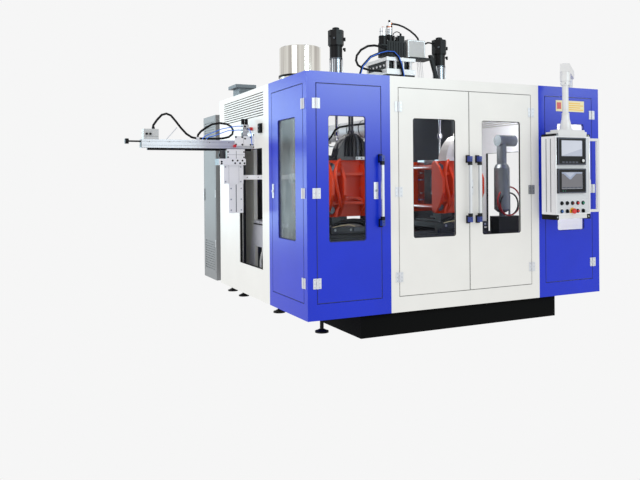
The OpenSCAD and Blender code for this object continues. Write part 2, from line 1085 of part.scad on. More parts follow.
module parison_actuator() {
    body_z = 2831;
    body_top = 3000;
    elbow_z = 3210;
    color("#1d1f24")
        place()
            translate([mid_x, line_y, 0]) {
                translate([0, 0, lower_plate_z + plate_h])
                    cylinder(r = 100, h = upper_plate_z - lower_plate_z - plate_h);
                translate([20, -20, plate_top])
                    cylinder(r = 90, h = body_z - plate_top);
                block([-103, 145], [-120, 80], [body_z, body_top]);
                block([66, 142], [-100, -20], [body_top, body_top + 71]);
                translate([-28, -50, body_top])
                    cylinder(r = 38, h = 70);
                translate([-28, -50, body_top + 70])
                    cylinder(r = 29, h = 92);
                translate([-28, -50, body_top + 162])
                    cylinder(r = 17, h = 60);
                translate([-28, -50, elbow_z])
                    rotate([0, 90, 0])
                        cylinder(r = 12, h = 38);
                translate([20, 30, body_top])
                    cylinder(r = 34, h = 200);
                translate([20, 30, body_top + 200])
                    cylinder(r = 12, h = 70);
                translate([-134, -80, 2957])
                    cylinder(r = 46, h = 96);
                translate([-134, -80, 3053])
                    cylinder(r = 36, h = 84);
                block([-165, -100], [-118, -42], [2941, 2957]);
            }
}

// Junction box on a bracket, with the slanted leg that carries it
module head_junction_box() {
    box_z = 2823;
    leg_x = 503;
    leg_w = 38;
    color("#c4c8cc")
        place()
            translate([mid_x, line_y, 0]) {
                block([174, 410], [-120, 30], [box_z, box_z + 210]);
                block([160, 450], [-190, -20], [plate_top, box_z]);
                translate([0, -150, 0])
                    rotate([90, 0, 0])
                        linear_extrude(40)
                            polygon([[leg_x, top_beam_z + top_beam_h],
                                [leg_x + leg_w, top_beam_z + top_beam_h], [leg_x + leg_w, 2623],
                                [leg_x - 38, 2861], [leg_x - 38 - leg_w, 2861], [leg_x, 2623]]);
            }
}

// Blow pins

blow_top = 3081;
blow_head_z = 2917;
sleeve_z = 2767;

module blow_cylinder() {
    difference() {
        union() {
            translate([0, 0, blow_head_z])
                rotate([0, 0, 22.5])
                    cylinder(r = 88, h = blow_top - blow_head_z, $fn = 8);
            translate([0, 0, blow_top])
                cylinder(r = 39, h = 30);
            translate([0, 0, sleeve_z])
                cylinder(r = 70, h = blow_head_z - sleeve_z);
            translate([0, 0, top_beam_z + top_beam_h + 20])
                cylinder(r = 62, h = sleeve_z - top_beam_z - top_beam_h - 20);
            block([-110, 110], [-beam_dy - column_w, beam_dy + column_w],
                [top_beam_z + top_beam_h, top_beam_z + top_beam_h + 20]);
        }
        translate([0, 0, top_beam_z])
            cylinder(r = pin_r + slide_fit, h = 3070 - top_beam_z);
    }
}

module blow_cylinders() {
    color("#26282d")
        place()
            for (x = [mid_x - shuttle, mid_x + shuttle])
                translate([x, line_y, 0])
                    blow_cylinder();
}

module blow_pin() {
    translate([0, 0, 1690])
        cylinder(r = pin_r - 4, h = 225);
    translate([0, 0, 1915])
        cylinder(r = 30, h = 45);
    translate([0, 0, 1960])
        cylinder(r = pin_r, h = 1080);
}

module left_blow_pin() {
    color("#c8ccd0")
        place()
            translate([mid_x - shuttle, line_y, 0])
                blow_pin();
}

module right_blow_pin() {
    color("#c8ccd0")
        place()
            translate([mid_x + shuttle, line_y, 0])
                blow_pin();
}

// Frames

module machine_frame() {
    x0 = frame_x;
    x1 = housing_w - frame_x;
    color("#34373d")
        place() {
            block([x0, x1], [front_rail_y - 60, rear_rail_y + 60], [skid_h, bed_z]);
            for (y = [front_rail_y, rear_rail_y]) {
                block([x0, x1], [y - 60, y + 60], [bed_z, rail_z]);
                block([x0 + 20, x1 - 20], [y - rail_w / 2, y + rail_w / 2], [rail_z, rail_z + rail_h]);
            }
            for (side = [-1, 1]) {
                y0 = line_y + side * (beam_dy + column_w / 2) - column_w / 2;
                block([x0, x1], [y0, y0 + column_w], [top_beam_z, top_beam_z + top_beam_h]);
                for (x = [x0, x1 - column_w])
                    block([x, x + column_w], [y0, y0 + column_w], [bed_z, top_beam_z]);
            }
            for (x = [x0, x1 - column_w])
                block([x, x + column_w], [line_y - beam_dy, line_y + beam_dy],
                    [top_beam_z, top_beam_z + top_beam_h]);
            for (x = [-125, 200], y = [-165, 165])
                block([mid_x + x - 20, mid_x + x + 20], [line_y + y - 20, line_y + y + 20],
                    [top_beam_z + top_beam_h, lower_plate_z - head_foot]);
            extruder_stand();
        }
}

module extruder_stand() {
    y0 = gearbox_y - 640;
    y1 = drive_back - 10;
    for (x = [mid_x - 400, mid_x + 320], y = [y0, y1 - 80])
        block([x, x + 80], [y, y + 80], [skid_h, platform_z]);
    difference() {
        block([mid_x - 400, mid_x + 400], [y0, y1], [platform_z, platform_z + 80]);
        block([mid_x - 300, mid_x + 300], [y0 + 100, gearbox_y - 60],
            [platform_z - 1, platform_z + 81]);
        block([mid_x - 180, mid_x + 180], [drive_back - 100, drive_back],
            [platform_z - 1, platform_z + 81]);
    }
    for (x = [mid_x - 400, mid_x + 320])
        block([x, x + 80], [y0 + 80, y1 - 80], [motor_z - motor_r - 110, motor_z - motor_r - 30]);
    block([mid_x - 320, mid_x + 320], [gearbox_y - 320, gearbox_y + 100],
        [motor_z - motor_r - 110, motor_z - motor_r - 30]);
}

// Mould stations, built about the station's own axis at x = 0, y = 0

module carriage() {
    difference() {
        union() {
            block([-carriage_w / 2, carriage_w / 2], [-490, 490], [deck_z, deck_z + deck_t]);
            for (x = [-carriage_w / 2, carriage_w / 2 - 120], y = [-380, 380])
                block([x, x + 120], [y - 50, y + 50], [rail_z + 6, deck_z]);
        }
        for (y = [-380, 380])
            block([-carriage_w, carriage_w],
                [y - rail_w / 2 - slide_fit, y + rail_w / 2 + slide_fit],
                [rail_z - 1, rail_z + rail_h + slide_fit]);
        block([-120, 120], [-100, 100], [deck_z - 1, deck_z + deck_t + 1]);
    }
    for (x = [-200, 200])
        block([x - deck_rail_w / 2, x + deck_rail_w / 2], [-480, 480],
            [deck_z + deck_t, deck_z + deck_t + deck_rail_h]);
}

// Casting profile of a platen's ribs, from its face plate outwards
module rib_profile() {
    polygon([[0, platen_z], [0, platen_top], [-rib_d * 0.5, platen_top - 70],
        [-rib_d, platen_top - 200], [-rib_d, platen_z + 230], [-rib_d * 0.5, platen_z + 90]]);
}

module platen_casting() {
    y1 = -mould_face - mould_t;
    y0 = y1 - platen_t;
    translate([0, y0, 0])
        round_plate();
    for (x = [-platen_w / 2, -150, 120, platen_w / 2 - 30])
        translate([x, y0, 0])
            rotate([90, 0, 90])
                linear_extrude(30)
                    rib_profile();
    block([-platen_w / 2 + 10, platen_w / 2 - 10], [y0 - rib_d * 0.55, y0],
        [platen_z + 130, platen_z + 160]);
    block([-platen_w / 2 + 10, platen_w / 2 - 10], [y0 - rib_d * 0.55, y0],
        [platen_top - 160, platen_top - 130]);
    translate([0, y0, platen_z])
        rotate([90, 0, 0])
            linear_extrude(rib_d * 0.5)
                intersection() {
                    difference() {
                        circle(r = 215);
                        circle(r = 190);
                    }
                    translate([-220, 0])
                        square([440, 220]);
                }
    for (x = [-200, 200])
        difference() {
            block([x - 50, x + 50], [y0 - 60, y1], [deck_z + deck_t + 4, platen_z]);
            block([x - deck_rail_w / 2 - slide_fit, x + deck_rail_w / 2 + slide_fit],
                [y0 - 61, y1 + 1],
                [deck_z + deck_t, deck_z + deck_t + deck_rail_h + slide_fit]);
        }
}

module round_plate() {
    translate([-platen_w / 2, 0, platen_z])
        round_slab(platen_w, platen_top - platen_z, 40, 0, platen_t);
}

// Front platen, with the four tie bars and the rear yoke that they pull
module front_platen(hood) {
    y0 = -mould_face - mould_t - platen_t;
    platen_casting();
    for (x = [-tie_x, tie_x], z = [platen_z + 70, platen_top - 70])
        translate([x, y0, z])
            rotate([-90, 0, 0])
                cylinder(r = tie_r, h = yoke_y + yoke_t - y0 + 24);
    difference() {
        translate([-platen_w / 2, yoke_y, platen_z])
            round_slab(platen_w, platen_top - platen_z, 40, 0, yoke_t);
        translate([0, yoke_y - 1, (platen_z + platen_top) / 2])
            rotate([-90, 0, 0])
                cylinder(r = 34, h = yoke_t + 2);
    }
    difference() {
        translate([0, yoke_y + yoke_t, (platen_z + platen_top) / 2])
            rotate([-90, 0, 0])
                cylinder(r = 80, h = 290);
        translate([0, yoke_y + yoke_t - 1, (platen_z + platen_top) / 2])
            rotate([-90, 0, 0])
                cylinder(r = 34, h = 272);
    }
    if (hood)
        platen_hood();
}

// Domed cover over the hose manifold on top of the platen
module platen_hood() {
    hood_d = 150;
    hood_w = 390;
    hood_h = 285;
    y0 = -mould_face - mould_t - platen_t - 90;
    translate([0, y0 + hood_d, 0])
        rotate([90, 0, 0])
            linear_extrude(hood_d)
                polygon(concat([[-hood_w / 2, platen_top], [hood_w / 2, platen_top]],
                    [for (a = [0 : 15 : 180]) [hood_w / 2 * cos(a) * (1 - 0.32 * sin(a)),
                        platen_top + 40 + (hood_h - 40) * pow(sin(a), 0.8)]]));
    for (x = [-16, 16])
        translate([x, y0 + 60, platen_top + hood_h - 6])
            cylinder(r = 13, h = 190);
    translate([0, y0 + 60, platen_top + hood_h - 6])
        cylinder(r = 36, h = 36);
}

module rear_platen() {
    y = mould_face + mould_t + platen_t;
    difference() {
        mirror([0, 1, 0])
            platen_casting();
        for (x = [-tie_x, tie_x], z = [platen_z + 70, platen_top - 70])
            translate([x, 0, z])
                rotate([-90, 0, 0])
                    cylinder(r = tie_r + slide_fit, h = yoke_y);
    }
    translate([0, y, (platen_z + platen_top) / 2])
        rotate([-90, 0, 0])
            cylinder(r = 30, h = yoke_y + yoke_t + 260 - y);
}

// Bottle cavity, turned about the parting plane's upright axis
module cavity() {
    z = mould_top - 405;
    rotate_extrude()
        polygon([[0, z], [cavity_r - 8, z], [cavity_r, z + 8], [cavity_r, z + 220],
            [cavity_r - 14, z + 260], [24, z + 298], [19, z + 314], [19, mould_top + 1],
            [0, mould_top + 1]]);
}

module mould_half() {
    difference() {
        block([-mould_w / 2, mould_w / 2], [-mould_face - mould_t, -mould_face - 0.25],
            [mould_top - mould_h, mould_top]);
        translate([0, -mould_face, 0])
            cavity();
        for (x = [-mould_w / 2 + 45, mould_w / 2 - 45], z = [mould_top - mould_h + 60, mould_top - 60])
            translate([x, -mould_face - 40, z])
                rotate([-90, 0, 0])
                    cylinder(r = 11, h = 50);
    }
}

module left_station() {
    translate([mid_x - shuttle, line_y, 0])
        children();
}

module right_station() {
    translate([mid_x + shuttle, line_y, 0])
        children();
}

module left_carriage() {
    color("#2f3238")
        place()
            left_station()
                carriage();
}

module right_carriage() {
    color("#2f3238")
        place()
            right_station()
                carriage();
}

module left_front_platen() {
    color("#d9481c")
        place()
            left_station()
                front_platen(true);
}

module left_rear_platen() {
    color("#d9481c")
        place()
            left_station()
                rear_platen();
}

module right_front_platen() {
    color("#d9481c")
        place()
            right_station()
                front_platen(true);
}

module right_rear_platen() {
    color("#d9481c")
        place()
            right_station()
                rear_platen();
}

module left_front_mould() {
    color("#a9adb0")
        place()
            left_station()
                mould_half();
}

module left_rear_mould() {
    color("#a9adb0")
        place()
            left_station()
                mirror([0, 1, 0])
                    mould_half();
}

module right_front_mould() {
    color("#a9adb0")
        place()
            right_station()
                mould_half();
}

module right_rear_mould() {
    color("#a9adb0")
        place()
            right_station()
                mirror([0, 1, 0])
                    mould_half();
}

// Take-out

beam_y = 1394;
rail_drop = 22;

beam_front = beam_y - beam_h / 2;

// Valve on the beam, with its knobs and the fitting to the wall
module air_valve() {
    z = beam_z + 85;
    block([-110, -60], [beam_front, beam_y + 6], [beam_z, z]);
    block([-115, -45], [beam_front - 8, beam_y + 12], [z, z + 80]);
    for (x = [-100, -62])
        translate([x, beam_y - 12, z + 80])
            cylinder(r = 17, h = 58);
    translate([-45, beam_y - 22, z + 40])
        rotate([0, 90, 0])
            cylinder(r = 8, h = 45);
    translate([-32, beam_y - 22, z + 40])
        rotate([0, 90, 0])
            cylinder(r = 18, h = 32);
}

module takeout_beam() {
    low = beam_z - beam_h;
    color("#c9ccd0")
        place() {
            difference() {
                block([-beam_l, -12], [beam_y - beam_h / 2, beam_y + beam_h / 2], [low, beam_z]);
                for (z = [low + 22, beam_z - 22])
                    block([-beam_l - 1, -12], [beam_y - beam_h / 2 - 1, beam_y - beam_h / 2 + 8],
                        [z - 4, z + 4]);
            }
            block([-beam_l + 60, -14], [beam_y - 16, beam_y + 16], [low - rail_drop, low]);
            block([-12, 0], [beam_y - 110, beam_y + 110], [low - 2, beam_z + 75]);
            block([-198, -12], [beam_front - 10, beam_front], [beam_z - 51, beam_z + 46]);
            block([-beam_l + 20, -beam_l + 164], [beam_y - 45, beam_y + 45],
                [beam_z, beam_z + 100]);
            translate([-202, beam_front, low + 26])
                rotate([90, 0, 0])
                    cylinder(r = 15, h = 26);
            translate([-889, beam_y, beam_z - 2])
                rotate([0, 41.5, 0])
                    cylinder(r = 4, h = 168);
            air_valve();
            translate([-beam_l - 120, beam_y, beam_z - 20])
                rotate([0, 90, 0])
                    cylinder(r = 8, h = 120);
            translate([-beam_l - 150, beam_y, beam_z - 20])
                rotate([0, 90, 0])
                    cylinder(r = 26, h = 34);
        }
}

module takeout_carriage() {
    low = beam_z - beam_h - rail_drop;
    plate_z = [low - 145, low - 82];
    panel_z = low - 335;
    foot_z = low - 635;
    arm_h = [low - 295, low - 249];
    color("#e2e4e6")
        place() {
            difference() {
                block([-284, -97], [beam_y - 60, beam_y + 60], [plate_z[1], low + 16]);
                block([-285, -96], [beam_y - 16 - slide_fit, beam_y + 16 + slide_fit],
                    [low - slide_fit, low + 17]);
            }
            block([-374, -89], [beam_y - 70, beam_y + 70], plate_z);
            block([-318, -110], [beam_y - 50, beam_y + 50], [panel_z, plate_z[0]]);
            block([-263, -110], [beam_y - 40, beam_y + 40], [foot_z, panel_z]);
            block([-110, arm_reach], [beam_y - 22, beam_y + 22], arm_h);
            for (side = [-1, 1])
                block([arm_reach - 70, arm_reach], [beam_y + side * 34 - 10, beam_y + side * 34 + 10],
                    [arm_h[0] - 40, arm_h[1] + 14]);
            block([arm_reach - 30, arm_reach], [beam_y - 44, beam_y + 44],
                [arm_h[1], arm_h[1] + 14]);
            translate([-325, beam_y - 30, plate_z[1]])
                cylinder(r = 33, h = 78);
        }
}

// Hoses: routes in the housing's measures, one polyhedron each

function dir(a, b) = (b - a) / norm(b - a);
function tangent(p, i) = let (n = len(p))
    i == 0 ? dir(p[0], p[1]) : i == n - 1 ? dir(p[n - 2], p[n - 1]) : dir(p[i - 1], p[i + 1]);
function side_of(t, s) = let (u = s - (s * t) * t) u / norm(u);
function ring(p, i, r, n, s) = let (t = tangent(p, i), u = side_of(t, s), v = cross(t, u))
    [for (k = [0 : n - 1]) p[i] + r * (cos(360 * k / n) * u + sin(360 * k / n) * v)];

module hose(route, r, s, n = 8) {
    m = len(route);
    polyhedron(
        points = [for (i = [0 : m - 1]) each ring(route, i, r, n, s)],
        faces = concat([[for (k = [n - 1 : -1 : 0]) k]],
            [for (i = [0 : m - 2], k = [0 : n - 1])
                [i * n + k, i * n + (k + 1) % n, (i + 1) * n + (k + 1) % n, (i + 1) * n + k]],
            [[for (k = [0 : n - 1]) (m - 1) * n + k]]));
}

// Corrugated cable hose from the box at the beam's end, looping back to the beam
beam_hose = [[-1014, 1385, 1939], [-1014, 1385, 1975], [-976, 1385, 2030], [-930, 1385, 2080],
    [-885, 1385, 2094], [-840, 1385, 2077], [-794, 1385, 2023], [-741, 1385, 1956],
    [-688, 1385, 1900], [-634, 1385, 1866], [-579, 1385, 1856], [-480, 1385, 1855],
    [-372, 1385, 1856], [-308, 1385, 1862], [-250, 1385, 1876], [-212, 1385, 1905],
    [-203, 1385, 1946], [-225, 1385, 1984], [-266, 1388, 2007], [-339, 1396, 2017],
    [-419, 1405, 2003], [-475, 1412, 1970], [-531, 1417, 1930], [-560, 1418, 1895],
    [-566, 1418, 1865], [-566, 1418, 1839]];

// Air lines from the beam to the valve, and from the valve to the wall plate
lower_air_line = [[-490, 1362, 1839], [-490, 1362, 1852], [-470, 1362, 1870], [-403, 1362, 1886],
    [-340, 1362, 1911], [-265, 1362, 1939], [-150, 1362, 1948], [-115, 1362, 1948]];
upper_air_line = [[-530, 1362, 1839], [-530, 1362, 1856], [-495, 1362, 1886], [-420, 1362, 1918],
    [-330, 1362, 1955], [-200, 1362, 1983], [-150, 1362, 1988], [-115, 1362, 1988]];
wall_air_line = [[-60, 1345, 1960], [-60, 1326, 1960], [-47, 1312, 1945], [-34, 1310, 1900],
    [-31, 1310, 1840], [-28, 1310, 1808], [-22, 1310, 1796], [-12, 1310, 1796]];

// Cables over the head: to the junction box, down to the lower plate and along the front
box_cable = [[1712.5, 1400, 3210], [1745, 1400, 3210], [1800, 1400, 3205], [1868, 1400, 3188],
    [1952, 1400, 3152], [2020, 1400, 3108], [2056, 1400, 3074], [2063, 1400, 3058],
    [2063, 1400, 3033]];
cylinder_cable = [[2112.5, 1400, 3005], [2135, 1400, 3005], [2170, 1405, 3020],
    [2215, 1425, 3038], [2260, 1445, 3042], [2285, 1450, 3040], [2309.1, 1450, 3040]];
plate_cable = [[1599.5, 1350, 2915], [1565, 1350, 2915], [1500, 1350, 2930], [1444, 1350, 2934],
    [1364, 1350, 2921], [1276, 1350, 2872], [1222, 1350, 2805], [1212, 1350, 2750],
    [1235, 1350, 2700], [1290, 1350, 2672], [1370, 1350, 2655], [1460, 1350, 2650],
    [1552.5, 1350, 2650]];
front_cable = [[1180, 1236, 2300], [1180, 1236, 2420], [1192, 1236, 2560], [1230, 1236, 2670],
    [1333, 1236, 2780], [1445, 1236, 2828], [1535, 1236, 2854], [1625, 1236, 2856],
    [1687, 1236, 2804], [1728, 1236, 2715], [1752, 1236, 2604], [1760, 1236, 2440],
    [1760, 1236, 2300]];

// Water pipes under the chute, down to the floor pan
chute_pipe = [[230, 1700, 702], [230, 1700, 665], [230, 1742, 610], [230, 1775, 540],
    [230, 1780, 420], [230, 1780, 260]];

// Air pipe from the frame's left column up to the beam over the left station
station_pipe = [[680, 1270, 1800], [730, 1270, 1800], [800, 1270, 1832], [858, 1270, 1890],
    [905, 1270, 1965], [960, 1270, 1998], [1080, 1270, 2020], [1304, 1270, 2048],
    [1400, 1270, 2075], [1436, 1270, 2122], [1445, 1270, 2170],
    [1445, 1270, 2200]];

module hoses() {
    color("#17181a")
        place() {
            hose(beam_hose, 11, [0, 1, 0]);
            hose(station_pipe, 11, [0, 1, 0]);
            hose(lower_air_line, 4, [0, 1, 0]);
            hose(upper_air_line, 4, [0, 1, 0]);
            hose(wall_air_line, 4, [0.7, 0.7, 0.1]);
            hose(box_cable, 11, [0, 1, 0]);
            hose(cylinder_cable, 10, [0.1, 0.2, 1]);
            hose(plate_cable, 13, [0, 1, 0]);
            hose(front_cable, 14, [0, 1, 0]);
            translate([0, -19.3, 0])
                hose(front_cable, 5, [0, 1, 0]);
            hose(chute_pipe, 14, [1, 0, 0]);
            translate([0, -120, 0])
                hose(chute_pipe, 14, [1, 0, 0]);
        }
}

base_skid();
levelling_feet();
left_cabinet();
right_cabinet();
centre_portal();
left_side_wall();
right_side_wall();
rear_wall();
electrical_cabinet();
front_door();
side_door();
left_double_door();
right_double_door();
right_door();
front_door_window();
side_door_window();
left_double_window();
right_double_window();
right_door_window();
front_door_handle();
left_double_handle();
right_double_handle();
pendant_housing();
display_bezels();
display_screens();
pendant_handle();
pendant_tube();
pendant_arm();
emergency_stop();
left_selector();
right_selector();
green_button();
upper_red_button();
lower_red_button();
blue_button();
extruder_barrel();
extruder_gearbox();
extruder_motor();
hopper();
die_head();
head_plates();
parison_actuator();
head_junction_box();
blow_cylinders();
left_blow_pin();
right_blow_pin();
machine_frame();
left_carriage();
right_carriage();
left_front_platen();
left_rear_platen();
right_front_platen();
right_rear_platen();
left_front_mould();
left_rear_mould();
right_front_mould();
right_rear_mould();
takeout_beam();
takeout_carriage();
hoses();
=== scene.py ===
import math

import bmesh
import bpy
from mathutils import Euler, Matrix, Vector


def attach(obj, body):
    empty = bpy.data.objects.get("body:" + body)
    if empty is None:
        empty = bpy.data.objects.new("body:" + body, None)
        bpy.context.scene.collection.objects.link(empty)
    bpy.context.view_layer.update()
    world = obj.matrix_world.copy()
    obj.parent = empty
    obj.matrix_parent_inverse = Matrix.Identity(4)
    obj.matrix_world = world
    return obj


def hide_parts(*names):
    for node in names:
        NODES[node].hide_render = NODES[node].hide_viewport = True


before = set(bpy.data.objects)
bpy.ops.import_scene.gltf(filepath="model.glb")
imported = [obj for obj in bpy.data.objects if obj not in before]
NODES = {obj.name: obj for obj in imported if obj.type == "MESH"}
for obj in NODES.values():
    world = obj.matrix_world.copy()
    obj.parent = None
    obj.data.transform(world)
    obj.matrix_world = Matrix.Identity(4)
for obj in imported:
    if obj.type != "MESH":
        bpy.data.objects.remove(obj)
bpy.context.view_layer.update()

# Places are in the housing's millimetres: x from its left side, y from its
# front, z from the floor, as in the CAD source
MID_X = 1702.5
LINE_Y = 1450.0
REAR = 2565.0
ROOF = 2370.0
DOOR_Z = 365.0
DOOR_TOP = DOOR_Z + 1902
HANDLE_Z = 1005.0
HANDLE_LENGTH = 652
HINGES = (DOOR_Z + 175, DOOR_Z + 951, DOOR_TOP - 175)
HINGE_HALF_WIDTH, HINGE_HALF_HEIGHT = 39, 46
STATIONS = (("left", 1014.5), ("right", 2390.5))
PLATENS, MOULDS = (
    " ".join(side + half + kind for side in ("left_", "right_") for half in ("front_", "rear_"))
    for kind in ("platen", "mould"))
TIE_BAR_X = 240
TIE_BAR_Z = (1110, 1565)
PLATEN_Z = 1337.5
PLATEN_BOLT_Z = (1180, 1340, 1500, 1600)
ACTUATOR = (1674.5, 1400)
SIDE_ACTUATOR = (1568.5, 1370)
HOPPER = (MID_X, 4019)
PENDANT_TUBE = (2759, -183)
PENDANT_FACE = -273.5
FAR = 1e6
UP, FRONT, BACK, LEFT = (0, 0, 1), (0, -1, 0), (0, 1, 0), (-1, 0, 0)


def point(x, y, z):
    """Point in the shared frame's metres."""
    return Vector(((x - MID_X) / 1000, (y - LINE_Y) / 1000, z / 1000))


def span(middle, half):
    return (middle - half, middle + half)


def around(axis, z, r, degrees):
    """Point at height z, at radius r and an angle about an upright axis."""
    a = math.radians(degrees)
    return Vector((axis[0] + r * math.cos(a), axis[1] + r * math.sin(a), z))


# Materials

def linear(rgb):
    """Linear colour from an sRGB one of 0 to 255."""
    return tuple(v / 12.92 if v <= 0.04045 else ((v + 0.055) / 1.055) ** 2.4
                 for v in (c / 255 for c in rgb)) + (1.0,)


def material(name, rgb, rough=0.4, metal=0.0, grain=0.0, scale=400.0, stretch=(1, 1, 1),
             alpha=1.0, coat=0.0, mottle=0.04, glow=0.0, shine=0.5):
    """Principled material with a procedural mottle in its colour and a fine bump."""
    colour = linear(rgb)
    m = bpy.data.materials.new(name)
    m.use_nodes = True
    tree = m.node_tree
    link = tree.links.new
    shader = tree.nodes["Principled BSDF"]
    values = {"Roughness": rough, "Metallic": metal, "Alpha": alpha, "Coat Weight": coat,
              "Specular IOR Level": shine}
    if glow:
        values.update({"Emission Color": colour, "Emission Strength": glow})
    for socket, value in values.items():
        shader.inputs[socket].default_value = value
    where = tree.nodes.new("ShaderNodeTexCoord")
    mapping = tree.nodes.new("ShaderNodeMapping")
    mapping.inputs["Scale"].default_value = stretch
    link(where.outputs["Object"], mapping.inputs["Vector"])
    broad = tree.nodes.new("ShaderNodeTexNoise")
    broad.inputs["Scale"].default_value = 3.0
    broad.inputs["Detail"].default_value = 3.0
    link(mapping.outputs["Vector"], broad.inputs["Vector"])
    ramp = tree.nodes.new("ShaderNodeValToRGB")
    for stop, place, share in zip(ramp.color_ramp.elements, (0.35, 0.7), (1 - mottle, 1 + mottle)):
        stop.position = place
        stop.color = tuple(min(1, c * share) for c in colour[:3]) + (1,)
    link(broad.outputs["Fac"], ramp.inputs["Fac"])
    link(ramp.outputs["Color"], shader.inputs["Base Color"])
    if grain:
        fine = tree.nodes.new("ShaderNodeTexNoise")
        fine.inputs["Scale"].default_value = scale
        link(mapping.outputs["Vector"], fine.inputs["Vector"])
        bump = tree.nodes.new("ShaderNodeBump")
        bump.inputs["Strength"].default_value = grain
        bump.inputs["Distance"].default_value = 0.0006
        link(fine.outputs["Fac"], bump.inputs["Height"])
        link(bump.outputs["Normal"], shader.inputs["Normal"])
    return m


